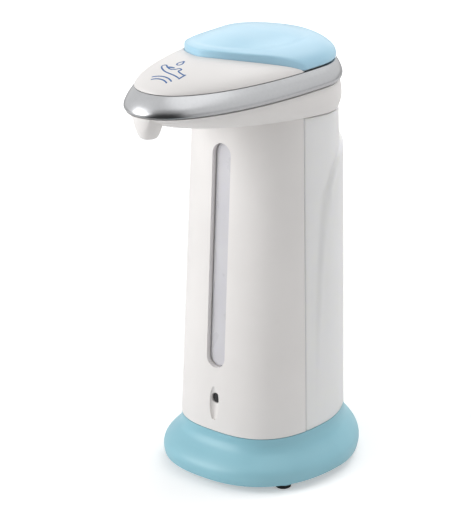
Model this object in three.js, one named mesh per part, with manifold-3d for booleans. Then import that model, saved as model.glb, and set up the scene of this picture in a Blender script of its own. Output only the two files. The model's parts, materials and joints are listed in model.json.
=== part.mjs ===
// Automatic hand sanitizer dispenser: a column with a clear-backed tank, an overhanging head with a
// hinged filler lid, and a flared foot that holds the batteries. A gear pump lifts the liquid.
// Millimetres, +Z up. The spout points towards -Y, and the table is at z = 0.
// Every place below is measured from the middle of the column's foot; the last lines move the origin.
import * as THREE from 'three';
import { mergeVertices } from 'three/addons/utils/BufferGeometryUtils.js';
import Module from 'manifold-3d';

const wasm = await Module();
wasm.setup();

// Clearances that the whole part shares
const gap = 0.3;
const overrun = 2;

// Column: an oval that narrows upwards, split into a front shell and the tank behind it
const columnFoot = {
  z: 21.2, halfWidth: 31.3, front: 36.5, rear: 38.2, frontSquareness: 2.7, rearSquareness: 1.8,
};
const columnTop = {
  z: 154, halfWidth: 29.3, front: 29.9, rear: 27.1, frontSquareness: 2.42, rearSquareness: 1.95,
};
const splitForward = 12.9;
const shellWall = 2.4;
const tankWall = 2;
const tankFloorZ = 46;
const tankFloorThickness = 2;

// Level window and finger-sized dimple of the sensor, both in the front shell
const slotBottomZ = 49.3;
const slotTopZ = 144.8;
const slotWidth = 9.4;
const slotChamfer = 1.8;
const dimpleZ = 33.6;
const dimpleHalfHeight = 8;
const dimpleHalfWidth = 3.2;
const dimpleDepth = 1.5;
const windowZ = 35.5;
const windowWidth = 3.4;
const windowHeight = 4;

// Raised back of the tank, whose edge sweeps down from behind to the sides
const humpRise = 1.8;
const humpTopZ = 148;
const humpFrontY = -9.8;
const humpSweep = 14.5;
const humpEdgeWidth = 3;

// Foot: a flared skirt with a floor, standing on four rubber feet
const rimZ = 3.4;
const rim = { halfWidth: 39.1, front: 45.1, rear: 43.5, frontSquareness: 2.4, rearSquareness: 1.8 };
const flareShares = [[0, 0.98], [0.09, 1.03], [0.21, 1.04], [0.33, 0.96], [0.45, 0.77], [0.56, 0.52],
  [0.67, 0.26], [0.79, 0.07], [1, 0]];
const roomShares = [0, 0.24, 0.45, 0.68];
const baseWall = 2.2;
const floorRecess = 0.8;
const floorThickness = 2;
const lipRise = 3.5;
const lipWall = 1.8;
const footFrontX = 28;
const footFrontY = -24.9;
const footRearX = 26;
const footRearY = 19.5;
const footRadius = 3.4;
const footSleeveWall = 0.9;
const footSleeveDrop = 2;
const footDepth = 3.6;

// Head: underside, trim band and dome, all ovals drawn out towards the spout
const headFront = 79.6;
const bandFoot = {
  z: 166.7, halfWidth: 29.5, front: headFront, rear: 28.6, frontSquareness: 2.14, rearSquareness: 1.85,
};
const bandLean = 5.2;
const bandHead = {
  z: 174.9,
  halfWidth: 27.6,
  front: headFront - bandLean,
  rear: 26.6,
  frontSquareness: 2.2,
  rearSquareness: 1.72,
};
const undersideSetback = 16.2;
const headUnderside = {
  halfWidth: 29.8,
  front: headFront - undersideSetback,
  rear: 27.7,
  frontSquareness: 1.76,
  rearSquareness: 1.75,
};
const undersideZ = 155.6;
const undersideSlope = 0.06;
const headWall = 2;
const bandWall = 1.6;
const bandBulgeShares = [[0, 0], [0.08, 0.6], [0.2, 0.95], [0.4, 1], [0.7, 0.64], [1, 0]];
const bandBulge = 1.6;
const domeMiddleForward = 17;
const coverRise = 10.1;
const domeRoundness = 0.62;
const coverWall = 1.8;

// Lid: the rear of the dome, higher than the cover, with a shallow dish on top
const lidCornerForward = 7.3;
const lidNoseForward = 45.3;
const lidNoseSquareness = 1.75;
const lidStep = 2.2;
const lidRise = 13.7;
const lidWall = 1.8;
const lidShares = [1, 0.99, 0.965, 0.91, 0.82, 0.68, 0.5, 0.28];
const insideShares = [1, 0.96, 0.85, 0.6, 0.3];
const dishDepth = 1.1;
const dishForward = 12;
const dishHalfWidth = 18.5;
const dishHalfLength = 28;

// Well under the lid and the filler neck that leads to the tank
const wellDepth = 5;
const wellMargin = 5.4;
const deckThickness = 2;
const neckRadius = 14;
const neckWall = 1.6;
const neckFlange = 2.2;
const neckForward = 2;
const collarDrop = 5;
const collarWall = 1.6;
const gasketThickness = 1.2;
const gasketHeight = 2.4;
const sealStudRadius = 6;
const sealStudHeight = 3.2;

// Lid hinge at the back edge
const hingeInset = 1.2;
const hingeY = bandHead.rear - hingeInset;
const hingeLift = 0.5;
const hingePinRadius = 0.7;
const knuckleRadius = 1.7;
const knuckleHalfLength = 2.6;
const earLength = 2.6;
const hingeRelief = 2.6;

// Spout boss, nozzle and tubes
const spoutInset = 5.2;
const spoutForward = headFront - spoutInset;
const spoutBottomZ = 157.4;
const bossShares = [[0.78, 0], [1, 0.1], [1.2, 0.28], [1.38, 0.5], [1.62, 1]];
const bossRadius = 3.8;
const nozzleRadius = 2.4;
const nozzleBore = 1.2;
const nozzleBendZ = 165.6;
const nozzleFlangeRadius = 3;
const nozzleFlangeZ = 161;
const nozzleFlangeThickness = 1.2;
const barbRadius = 1.7;
const barbBore = 0.9;
const barbLength = 5;
const tubeRadius = 3;
const tubeBore = 2;
const outletMargin = 9.3;
const outletX = columnTop.halfWidth - outletMargin;
const tubeMargin = 11.3;
const tubeX = tubeMargin - columnTop.halfWidth;
const tubeForward = 15;
const tubeBend = 5.8;
const tubeSlack = 4;

// Batteries lie side by side across the foot
const cellRadius = 5.25;
const cellLength = 44.5;
const cellButtonRadius = 1.9;
const cellButtonLength = 0.8;
const cellCount = 4;
const cellPitch = 10.9;
const cellForward = 2;
const cellLift = 0.6;
const trayWall = 1.2;
const contactRoom = 2.1;
const springRadius = 2.6;
const springWire = 0.35;
const springTurns = 2;
const plateThickness = 0.4;
const plateHalfHeight = 3.8;
const plateHalfWidth = 3.6;

// Battery door in the floor, hinged at its rear edge
const doorThickness = 1.6;
const doorBarrelRadius = 0.9;
const doorPinRadius = 0.5;
const doorPinLength = 1.4;
const doorRib = 1;
const doorRibPitch = 2;

// Sliding power switch in front of the battery door
const switchForward = 33.5;
const switchHalfLength = 6.5;
const switchHalfDepth = 3.2;
const switchHeight = 5.5;
const switchTravel = 4;
const knobHalfLength = 1.7;
const knobHalfDepth = 1.2;
const knobBottomZ = 2.4;

// Screws and their posts
const screwRadius = 1.3;
const screwHeadRadius = 2.4;
const screwHeadHeight = 1.5;
const screwSeatThickness = 1;
const postRadius = 3.4;
const pillarRadius = 2.8;
const pillarHeight = 16;
const coverScrewX = 13.5;
const coverScrewForward = 47;
const coverScrewLength = 9;
const postX = 12;
const postFrontY = -29.5;
const postRearY = 27.5;

// Gear pump: the gears turn about axes along Y, the driving one above the other
const gearTeeth = 12;
const gearModule = 0.8;
const gearWidth = 5;
const gearBore = 1;
const pressureAngle = 25;
const addendumShare = 0.85;
const dedendumShare = 1.2;
const toothShare = 0.42;
const rootRelief = 0.02;
const shaftRadius = 1;
const shaftZ = 35.9;
const pumpForward = 8;
const pumpWall = 1.8;
const pumpBackWall = 2.6;
const pumpCoverThickness = 2;
const pumpGasketThickness = 0.8;
const pumpScrewOffset = 5.6;
const sealRadius = 2.2;
const sealLength = 1.4;
const motorHalfWidth = 10;
const motorHalfHeight = 7.6;
const motorLength = 20;
const motorCapLength = 3.2;
const motorBossRadius = 3;
const motorBossLength = 1.2;
const bracketThickness = 1.5;

// Pump carrier that stands on the battery tray, and the two circuit boards on it
const carrierThickness = 1.4;
const boardThickness = 1.2;
const sensorBoardHalfWidth = 8.5;
const sensorBoardForward = 28.5;
const sensorBoardBottomZ = 26;
const sensorBoardHeight = 16;
const ledRadius = 1.5;
const ledLength = 3.6;
const ledPitch = 3.5;
const controlBoardMargin = 9.8;
const controlBoardX = columnFoot.halfWidth - controlBoardMargin;
const controlBoardRear = 14.3;
const controlBoardLength = 21;
const controlBoardBottomZ = 21.5;
const controlBoardHeight = 19;
const chipWidth = 6;
const chipHeight = 4.8;
const chipStand = 1.6;
const connectorStand = 4;
const relayWidth = 4;
const relayHeight = 8;
const relayStand = 2.8;
const capacitorRadius = 2.8;
const capacitorLength = 6;
const boardMargin = 4;
const boardPost = 1.8;
const carrierTopZ = 44;
const strainerRadius = 5;
const strainerThickness = 1.2;
const strainerHole = 0.9;

// Numbers of facets
const ovalSteps = 36;
const roundSteps = 10;
const boreSteps = 12;
const barrelSteps = 16;
const neckSteps = 24;
const noseSteps = 28;
const arcSteps = 8;
const tubeSides = 4;
const shortTubeSteps = 12;
const longTubeSteps = 36;
const springStations = 7;
const wireSides = 2;
const screwSteps = 8;
const facetTolerance = 0.004;

const materials = {};

function material(name, colour, roughness, metalness = 0, opacity = 1) {
  const made = new THREE.MeshStandardMaterial({ color: colour, roughness, metalness });
  made.name = name;
  made.opacity = opacity;
  made.transparent = opacity < 1;
  materials[name] = made;
}

material('white_abs', 0xf1f0ed, 0.35);
material('blue_abs', 0xa9d4e3, 0.35);
material('lid_blue_abs', 0xb8e0f2, 0.3);
material('clear_tank', 0xe6e6f0, 0.3, 0, 0.75);
material('satin_silver', 0xc4c6c8, 0.3, 0.9);
material('black_rubber', 0x1c1c1e, 0.8);
material('silicone', 0xdedfe0, 0.6);
material('dark_lens', 0x14141a, 0.15);
material('led_clear', 0xcfd8e6, 0.15);
material('board_green', 0x2e6b43, 0.5);
material('steel', 0xb4b7ba, 0.3, 1);
material('grey_abs', 0x8c9094, 0.5);
material('black_abs', 0x24262a, 0.45);
material('acetal', 0xf4f3ea, 0.4);
material('cell_jacket', 0x3c4652, 0.35, 0.2);

// A point of an oval whose front and rear may differ in depth and squareness
function ovalPoint(size, inset, angle, z) {
  const front = Math.sin(angle) < 0;
  const squareness = front ? size.frontSquareness : size.rearSquareness;
  const depth = (front ? size.front : size.rear) - inset;
  const power = 2 / squareness;
  const x = (size.halfWidth - inset) * Math.sign(Math.cos(angle)) * Math.abs(Math.cos(angle)) ** power;
  const y = depth * Math.sign(Math.sin(angle)) * Math.abs(Math.sin(angle)) ** power;
  return new THREE.Vector3(x, y, typeof z === 'function' ? z(x, y) : z);
}

function oval(size, inset, z, steps = ovalSteps) {
  return Array.from({ length: steps }, (_, i) => ovalPoint(size, inset, 2 * Math.PI * i / steps, z));
}

function mix(a, b, share) {
  const mixed = {};
  for (const key of Object.keys(a)) {
    mixed[key] = a[key] + (b[key] - a[key]) * share;
  }
  return mixed;
}

function middleOf(points) {
  const sum = points.reduce((total, point) => total.add(point), new THREE.Vector3());
  return sum.divideScalar(points.length);
}

// A closed body through rings of equal count, from the lowest to the highest
function loft(rings, topMiddle = middleOf(rings.at(-1)), bottomMiddle = middleOf(rings[0])) {
  const steps = rings[0].length;
  const positions = [];
  const index = [];
  for (const ring of rings) {
    for (const point of ring) {
      positions.push(point.x, point.y, point.z);
    }
  }
  positions.push(bottomMiddle.x, bottomMiddle.y, bottomMiddle.z, topMiddle.x, topMiddle.y, topMiddle.z);
  const bottom = rings.length * steps;
  for (let level = 0; level < rings.length - 1; level += 1) {
    for (let i = 0; i < steps; i += 1) {
      const next = (i + 1) % steps;
      const low = level * steps;
      const high = low + steps;
      index.push(low + i, low + next, high + next, low + i, high + next, high + i);
    }
  }
  for (let i = 0; i < steps; i += 1) {
    const next = (i + 1) % steps;
    index.push(bottom, next, i, bottom + 1, bottom - steps + i, bottom - steps + next);
  }
  const geometry = new THREE.BufferGeometry();
  geometry.setAttribute('position', new THREE.Float32BufferAttribute(positions, 3));
  geometry.setIndex(index);
  return geometry;
}

// Solids for cutting and joining
function solid(geometry) {
  const bare = geometry.clone();
  for (const name of Object.keys(bare.attributes)) {
    if (name !== 'position') bare.deleteAttribute(name);
  }
  const merged = mergeVertices(bare);
  return new wasm.Manifold(new wasm.Mesh({
    numProp: 3,
    vertProperties: new Float32Array(merged.attributes.position.array),
    triVerts: new Uint32Array(merged.index.array),
  }));
}

function geometryOf(body) {
  const mesh = body.asOriginal().simplify(facetTolerance).getMesh();
  const geometry = new THREE.BufferGeometry();
  geometry.setAttribute('position', new THREE.Float32BufferAttribute(mesh.vertProperties, 3));
  geometry.setIndex(Array.from(mesh.triVerts));
  return geometry;
}

function join(...bodies) {
  return bodies.reduce((whole, body) => whole.add(body));
}

function cut(body, ...tools) {
  return tools.reduce((rest, tool) => rest.subtract(tool), body);
}

// A box given by its lowest and highest corners
function block(low, high) {
  const geometry = new THREE.BoxGeometry(high[0] - low[0], high[1] - low[1], high[2] - low[2]);
  geometry.translate((low[0] + high[0]) / 2, (low[1] + high[1]) / 2, (low[2] + high[2]) / 2);
  return solid(geometry);
}

// A turned body from [radius, height] pairs that start and end on the axis
function turned(profile, place = [0, 0, 0], steps = roundSteps) {
  const points = profile.map(([radius, height]) => new THREE.Vector2(radius, height));
  const geometry = new THREE.LatheGeometry(points, steps);
  geometry.rotateX(Math.PI / 2);
  geometry.translate(...place);
  return solid(geometry);
}

function rod(radius, length, place = [0, 0, 0], steps = roundSteps) {
  return turned([[0, 0], [radius, 0], [radius, length], [0, length]], place, steps);
}

function pipe(radius, bore, length, place = [0, 0, 0], steps = roundSteps) {
  return turned([[bore, 0], [radius, 0], [radius, length], [bore, length], [bore, 0]], place, steps);
}

// The same, laid along X or Y from its start
function rodX(radius, length, place, steps = roundSteps) {
  const geometry = geometryOf(rod(radius, length, [0, 0, 0], steps));
  geometry.rotateY(Math.PI / 2);
  geometry.translate(...place);
  return solid(geometry);
}

function rodY(radius, length, place, steps = roundSteps) {
  const geometry = geometryOf(rod(radius, length, [0, 0, 0], steps));
  geometry.rotateX(-Math.PI / 2);
  geometry.translate(...place);
  return solid(geometry);
}

// An upright prism over an outline of [x, y] pairs
function prism(outline, lowZ, highZ) {
  const shape = new THREE.Shape(outline.map(([x, y]) => new THREE.Vector2(x, y)));
  const geometry = new THREE.ExtrudeGeometry(shape, { depth: highZ - lowZ, bevelEnabled: false });
  geometry.translate(0, 0, lowZ);
  return solid(geometry);
}

// A round tube with a bore along a smooth path
function hose(points, radius, bore, steps) {
  const places = points.map((point) => new THREE.Vector3(...point));
  const path = new THREE.CatmullRomCurve3(places, false, 'centripetal');
  const shape = new THREE.Shape();
  shape.absarc(0, 0, radius, 0, 2 * Math.PI);
  const hole = new THREE.Path();
  hole.absarc(0, 0, bore, 0, 2 * Math.PI, true);
  shape.holes.push(hole);
  return new THREE.ExtrudeGeometry(shape, { steps, extrudePath: path, curveSegments: tubeSides });
}

// How far forward an oval reaches at a distance to its side
function frontAt(size, inset, x) {
  const across = Math.abs(x / (size.halfWidth - inset));
  return (size.front - inset) * (1 - across ** size.frontSquareness) ** (1 / size.frontSquareness);
}

function sectionShare(z, low, high) {
  return (z - low) / (high - low);
}

function columnAt(z) {
  return mix(columnFoot, columnTop, sectionShare(z, columnFoot.z, columnTop.z));
}

function undersideAt(x, y) {
  return undersideZ - undersideSlope * y;
}

const dispenser = new THREE.Group();
dispenser.name = 'hand_sanitizer_dispenser';

function add(group, name, form, materialName) {
  const geometry = form instanceof THREE.BufferGeometry ? form : geometryOf(form);
  const mesh = new THREE.Mesh(geometry, materials[materialName]);
  mesh.name = name;
  group.add(mesh);
  return mesh;
}

// Foot of the column
const foot = new THREE.Group();
foot.name = 'foot';
dispenser.add(foot);

const floorBottomZ = rimZ + floorRecess;
const floorTopZ = floorBottomZ + floorThickness;
const doorHalfLength = cellLength / 2 + gap;
const doorHalfDepth = cellPitch * cellCount / 2;

function skirtRing(heightShare, flareShare, inset) {
  const z = rimZ + (columnFoot.z - rimZ) * heightShare;
  return oval(mix(rim, columnFoot, 1 - flareShare), inset, z);
}

function flareAt(heightShare) {
  const upper = flareShares.findIndex(([height]) => height >= heightShare);
  if (upper <= 0) return flareShares[0][1];
  const [lowHeight, lowFlare] = flareShares[upper - 1];
  const [highHeight, highFlare] = flareShares[upper];
  return lowFlare + (highFlare - lowFlare) * (heightShare - lowHeight) / (highHeight - lowHeight);
}

// The room inside the skirt narrows to the lip that the column fits over
const lipOuter = shellWall + gap;
const lipInner = lipOuter + lipWall;
function skirtRoom(margin) {
  const rings = roomShares.map((height) => skirtRing(height, flareAt(height), baseWall + margin));
  rings.push(oval(columnFoot, lipInner + margin, columnFoot.z - footDepth));
  rings.push(oval(columnFoot, lipInner + margin, columnFoot.z + lipRise + overrun));
  return loft(rings);
}

const doorway = block(
  [-doorHalfLength, -cellForward - doorHalfDepth, floorBottomZ - overrun],
  [doorHalfLength, -cellForward + doorHalfDepth, floorTopZ + overrun],
);
const corners = [[1, -1], [-1, -1], [1, 1], [-1, 1]];
const footPlace = ([sideX, sideY]) => (
  sideY < 0 ? [sideX * footFrontX, footFrontY] : [sideX * footRearX, footRearY]);
const postPlace = ([sideX, sideY]) => [sideX * postX, sideY < 0 ? postFrontY : postRearY];
const sleeveBottomZ = floorBottomZ - footSleeveDrop;
const hingeAxisZ = floorBottomZ + doorBarrelRadius;
const doorHingeY = -cellForward + doorHalfDepth - gap - doorBarrelRadius;

function makeBaseHousing() {
  const skirt = solid(loft(flareShares.map(([height, flare]) => skirtRing(height, flare, 0))));
  const lip = solid(loft([
    oval(columnFoot, lipOuter, columnFoot.z - overrun),
    oval(columnFoot, lipOuter, columnFoot.z + lipRise),
  ]));
  const room = cut(solid(skirtRoom(0)), block(
    [-rim.front, -rim.front, 0],
    [rim.front, rim.front, floorTopZ],
  ));
  const recess = solid(loft([
    oval(rim, baseWall, rimZ - overrun),
    oval(rim, baseWall, floorBottomZ),
  ]));
  let housing = cut(join(skirt, lip), room, recess);
  for (const corner of corners) {
    const place = footPlace(corner);
    const sleeveRadius = footRadius + gap + footSleeveWall;
    const sleeve = rod(sleeveRadius, floorTopZ - sleeveBottomZ, [...place, sleeveBottomZ]);
    housing = join(housing, sleeve);
    housing = cut(housing, rod(footRadius + gap, footDepth, [...place, sleeveBottomZ - overrun]));
    const post = postPlace(corner);
    housing = join(housing, rod(postRadius, columnFoot.z - floorTopZ + gap, [...post, floorTopZ - gap]));
    housing = cut(
      housing,
      rod(
        screwHeadRadius + gap,
        columnFoot.z - 2 * lipWall - floorBottomZ + overrun,
        [...post, floorBottomZ - overrun],
      ),
      rod(screwRadius + gap, columnFoot.z, [...post, floorBottomZ]),
      rod(pillarRadius + gap, lipRise + overrun, [...post, columnFoot.z]),
    );
  }
  const knobSlot = block(
    [-switchTravel / 2 - knobHalfLength - gap, -switchForward - knobHalfDepth - gap, floorBottomZ - overrun],
    [switchTravel / 2 + knobHalfLength + gap, -switchForward + knobHalfDepth + gap, floorTopZ + overrun],
  );
  const hingeSockets = rodX(
    doorPinRadius + gap,
    2 * (doorHalfLength + doorPinLength + gap),
    [-doorHalfLength - doorPinLength - gap, doorHingeY, hingeAxisZ],
  );
  return cut(housing, doorway, knobSlot, hingeSockets);
}

add(foot, 'base_housing', makeBaseHousing(), 'blue_abs');

corners.forEach((corner, i) => {
  const height = sleeveBottomZ - overrun + footDepth - gap;
  const profile = [[0, 0], [footRadius - gap, 0], [footRadius, gap], [footRadius, height], [0, height]];
  const pad = add(foot, `rubber_foot_${i + 1}`, turned(profile), 'black_rubber');
  pad.position.set(...footPlace(corner), 0);
});

// Batteries, their tray and contacts
const cellBottomZ = floorBottomZ + doorThickness + cellLift;
const cellAxisZ = cellBottomZ + cellRadius;
const trayHalfLength = cellLength / 2 + contactRoom;
const trayHalfDepth = doorHalfDepth + gap;
const trayRoofZ = cellAxisZ + cellRadius + gap;
const trayTopZ = trayRoofZ + trayWall;
const cellY = (i) => -cellForward + (i - (cellCount - 1) / 2) * cellPitch;
const cellSide = (i) => (i % 2 === 0 ? 1 : -1);

function makeBatteryTray() {
  const outside = block(
    [-trayHalfLength - trayWall, -cellForward - trayHalfDepth - trayWall, floorTopZ + gap],
    [trayHalfLength + trayWall, -cellForward + trayHalfDepth + trayWall, trayTopZ],
  );
  const inside = block(
    [-trayHalfLength, -cellForward - trayHalfDepth, floorTopZ - overrun],
    [trayHalfLength, -cellForward + trayHalfDepth, trayRoofZ],
  );
  const fitted = outside.intersect(solid(skirtRoom(gap)));
  const posts = corners.map((corner) => rod(
    postRadius + gap,
    trayTopZ,
    [...postPlace(corner), floorBottomZ],
  ));
  return cut(fitted, inside, ...posts);
}

add(foot, 'battery_tray', makeBatteryTray(), 'grey_abs');

const cellProfile = [
  [0, 0], [cellRadius, 0], [cellRadius, cellLength - cellButtonLength],
  [cellButtonRadius, cellLength - cellButtonLength], [cellButtonRadius, cellLength], [0, cellLength],
];
for (let i = 0; i < cellCount; i += 1) {
  const cell = add(foot, `battery_${i + 1}`, turned(cellProfile, [0, 0, -cellLength / 2]), 'cell_jacket');
  cell.position.set(0, cellY(i), cellAxisZ);
  cell.rotation.y = cellSide(i) * Math.PI / 2;
}

// A sprung wire that winds along X from its contact plate to a battery's flat end
function makeSpring(side, y) {
  const start = trayHalfLength - gap - plateThickness / 2;
  const end = cellLength / 2 + gap + springWire;
  const turns = 2 * Math.PI * springTurns;
  const stations = springTurns * springStations;
  const points = Array.from({ length: stations + 1 }, (_, k) => {
    const share = k / stations;
    const radius = springRadius * (1 - share / 3);
    const advance = Math.min(1, share * 1.2);
    return new THREE.Vector3(
      side * (start + (end - start) * advance),
      y + radius * Math.cos(turns * share),
      cellAxisZ + radius * Math.sin(turns * share),
    );
  });
  const wire = new THREE.Shape();
  wire.absarc(0, 0, springWire, 0, 2 * Math.PI);
  const path = new THREE.CatmullRomCurve3(points);
  const winding = { steps: stations, extrudePath: path, curveSegments: wireSides };
  return solid(new THREE.ExtrudeGeometry(wire, winding));
}

// A plate that joins the ends of neighbouring batteries, with a spring at each flat end
function makeContact(side, members) {
  const outerX = side * (trayHalfLength - gap);
  const innerX = side * (trayHalfLength - gap - plateThickness);
  const plate = block(
    [Math.min(outerX, innerX), cellY(members[0]) - plateHalfWidth, cellAxisZ - plateHalfHeight],
    [Math.max(outerX, innerX), cellY(members.at(-1)) + plateHalfWidth, cellAxisZ + plateHalfHeight],
  );
  const sprung = members.filter((i) => cellSide(i) !== side);
  return join(plate, ...sprung.map((i) => makeSpring(side, cellY(i))));
}

const contacts = [[1, [0, 1]], [1, [2, 3]], [-1, [0]], [-1, [1, 2]], [-1, [3]]];
contacts.forEach(([side, members], i) => {
  add(foot, `battery_contact_${i + 1}`, makeContact(side, members), 'steel');
});

// Battery door, with a barrel along its rear edge and a soft gasket on its ribs
const doorTopZ = floorBottomZ + doorThickness;
const doorFrontY = -cellForward - doorHalfDepth + gap;
const doorEdgeX = doorHalfLength - gap;
function makeBatteryDoor() {
  const plate = block([-doorEdgeX, doorFrontY, floorBottomZ], [doorEdgeX, doorHingeY, doorTopZ]);
  const barrel = rodX(doorBarrelRadius, 2 * doorEdgeX, [-doorEdgeX, doorHingeY, hingeAxisZ]);
  const pinHalf = doorHalfLength + doorPinLength;
  const pins = rodX(doorPinRadius, 2 * pinHalf, [-pinHalf, doorHingeY, hingeAxisZ]);
  const grips = [1, 2, 3].map((i) => block(
    [-doorEdgeX / 3, doorFrontY + i * doorRibPitch, floorBottomZ - overrun],
    [doorEdgeX / 3, doorFrontY + i * doorRibPitch + doorRib, floorBottomZ + gap],
  ));
  return cut(join(plate, barrel, pins), ...grips);
}

add(foot, 'battery_door', makeBatteryDoor(), 'blue_abs');

// Power switch
const switchBottomZ = floorTopZ + gap;
const switchTopZ = switchBottomZ + switchHeight;
const sliderHalfLength = switchHalfLength - switchTravel / 2 - 3 * gap;
const sliderTopZ = switchBottomZ + switchHeight / 2;
const trackHalfLength = sliderHalfLength + switchTravel / 2 + gap;
function makeSwitchBody() {
  const box = block(
    [-switchHalfLength, -switchForward - switchHalfDepth, switchBottomZ],
    [switchHalfLength, -switchForward + switchHalfDepth, switchTopZ],
  );
  const track = block(
    [-trackHalfLength, -switchForward - knobHalfDepth - 2 * gap, switchBottomZ - overrun],
    [trackHalfLength, -switchForward + knobHalfDepth + 2 * gap, sliderTopZ + gap],
  );
  return cut(box, track);
}

add(foot, 'power_switch', makeSwitchBody(), 'black_abs');
const restX = -switchTravel / 2;
add(foot, 'switch_knob', join(
  block(
    [restX - knobHalfLength, -switchForward - knobHalfDepth, knobBottomZ],
    [restX + knobHalfLength, -switchForward + knobHalfDepth, sliderTopZ - gap],
  ),
  block(
    [restX - sliderHalfLength, -switchForward - knobHalfDepth - gap, switchBottomZ + gap],
    [restX + sliderHalfLength, -switchForward + knobHalfDepth + gap, sliderTopZ],
  ),
), 'black_abs');

// A pan-head screw that points up, its head lowest
function screw(length, place) {
  const head = screwHeadRadius;
  return turned([
    [0, 0], [head * 0.7, 0], [head, screwHeadHeight * 0.6], [head, screwHeadHeight],
    [screwRadius, screwHeadHeight], [screwRadius, length - screwRadius], [0, length],
  ], place, screwSteps);
}

const baseScrewZ = columnFoot.z - 2 * lipWall - screwHeadHeight - gap;
corners.forEach((corner, i) => {
  const length = columnFoot.z - baseScrewZ + pillarHeight / 2;
  add(foot, `base_screw_${i + 1}`, screw(length, [...postPlace(corner), baseScrewZ]), 'steel');
});

// Column
const column = new THREE.Group();
column.name = 'column';
dispenser.add(column);

const columnLowZ = columnFoot.z + gap;
const pillars = corners.map((corner) => rod(
  pillarRadius,
  pillarHeight,
  [...postPlace(corner), columnLowZ],
));
const pilots = corners.map((corner) => rod(
  screwRadius + gap,
  pillarHeight - screwRadius,
  [...postPlace(corner), columnLowZ - overrun],
));

// The column's outline, drawn in by an inset, from a low height up to just under the head
function columnBody(inset, lowZ, under = gap) {
  const highZ = (x, y) => undersideAt(x, y) - under;
  const topSize = columnAt(columnTop.z);
  return solid(loft([oval(columnAt(lowZ), inset, lowZ), oval(topSize, inset, highZ)]));
}

const splitY = -splitForward;
const reach = rim.front + overrun;
const aboveHead = undersideZ + 2 * overrun + headWall;
const frontHalf = block([-reach, -reach, -overrun], [reach, splitY, aboveHead + reach]);
const rearHalf = block([-reach, splitY + gap, -overrun], [reach, reach, aboveHead + reach]);

// A slot with round ends, seen from the front
function slotOutline(halfWidth, lowZ, highZ) {
  const shape = new THREE.Shape();
  shape.absarc(0, highZ - halfWidth, halfWidth, 0, Math.PI);
  shape.absarc(0, lowZ + halfWidth, halfWidth, Math.PI, 2 * Math.PI);
  return shape;
}

// Cuts the front wall from outside, wider at the surface when a chamfer is given
function slotCutter(halfWidth, lowZ, highZ, nearY, farY) {
  const geometry = new THREE.ExtrudeGeometry(
    slotOutline(halfWidth, lowZ, highZ),
    { depth: farY - nearY, bevelEnabled: false, curveSegments: arcSteps },
  );
  geometry.rotateX(Math.PI / 2);
  geometry.translate(0, farY, 0);
  return solid(geometry);
}

// The slot's chamfer: a wedge that follows the slanted front face
function slotChamferCutter() {
  const ring = (grow, inset) => {
    const half = slotWidth / 2 + grow;
    const low = slotBottomZ - grow;
    const high = slotTopZ + grow;
    return Array.from({ length: neckSteps }, (_, i) => {
      const angle = 2 * Math.PI * (i + 0.5) / neckSteps;
      const x = half * Math.cos(angle);
      const z = (Math.sin(angle) > 0 ? high - half : low + half) + half * Math.sin(angle);
      return new THREE.Vector3(x, -frontAt(columnAt(z), inset, x), z);
    });
  };
  return solid(loft([ring(0, slotChamfer), ring(slotChamfer, 0), ring(2 * slotChamfer, -slotChamfer)]));
}

function dimpleCutter() {
  const face = columnAt(dimpleZ);
  const ball = new THREE.SphereGeometry(1, barrelSteps, boreSteps);
  ball.scale(dimpleHalfWidth, dimpleDepth, dimpleHalfHeight);
  ball.translate(0, -face.front, dimpleZ);
  return solid(ball);
}

function makeFrontShell() {
  const wall = cut(columnBody(0, columnLowZ), columnBody(shellWall, columnLowZ - overrun, -overrun));
  const shell = join(wall.intersect(frontHalf), pillars[0], pillars[1]);
  const windowHole = slotCutter(
    windowWidth / 2 + gap,
    windowZ - windowHeight / 2 - gap,
    windowZ + windowHeight / 2 + gap,
    -reach,
    -splitForward - shellWall,
  );
  return cut(
    shell,
    slotCutter(slotWidth / 2, slotBottomZ, slotTopZ, -reach, -splitForward - shellWall),
    slotChamferCutter(),
    dimpleCutter(),
    windowHole,
    pilots[0],
    pilots[1],
  );
}

add(column, 'front_shell', makeFrontShell(), 'white_abs');

// How far the tank's raised back stands out at a point of its side
function humpAt(x, y, z) {
  const up = (humpTopZ - z);
  if (up <= 0) return 0;
  const edgeY = humpFrontY + humpSweep ** 2 / up;
  const ramp = Math.min(1, Math.max(0, (y - edgeY) / humpEdgeWidth));
  const fade = Math.min(1, Math.max(0, sectionShare(z, columnFoot.z, humpTopZ)));
  return humpRise * ramp * ramp * (3 - 2 * ramp) * fade;
}

function tankOutside() {
  const levels = [0, 0.2, 0.42, 0.6, 0.72, 0.8, 0.85, 0.88, 0.91, 0.94];
  const rings = levels.map((share) => {
    const z = columnLowZ + (columnTop.z - columnLowZ) * share;
    const size = columnAt(z);
    return oval(size, 0, z).map((point) => {
      const stand = humpAt(point.x, point.y, z);
      const outward = new THREE.Vector3(point.x / size.halfWidth ** 2, point.y / size.rear ** 2, 0);
      return point.addScaledVector(outward.normalize(), stand);
    });
  });
  rings.push(oval(columnAt(columnTop.z), 0, (x, y) => undersideAt(x, y) - gap));
  return solid(loft(rings));
}

const innerInset = shellWall + gap;
const mouthZ = undersideZ - collarDrop - gasketHeight;
const chaseAngle = Math.atan2(-tubeForward, tubeX);
const chaseRadius = tubeRadius + 2 * gap;

// A groove for the delivery tube, open to the outside of the tank
function chase(radius, lowZ) {
  const height = aboveHead - lowZ;
  const channel = new THREE.BoxGeometry(reach, 2 * radius, height);
  channel.translate(reach / 2, 0, height / 2);
  channel.rotateZ(chaseAngle);
  channel.translate(tubeX, -tubeForward, lowZ);
  return join(rod(radius, height, [tubeX, -tubeForward, lowZ], barrelSteps), solid(channel));
}

const pumpMiddleY = -pumpForward - (gearWidth + 2 * gap) / 2;

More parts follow.
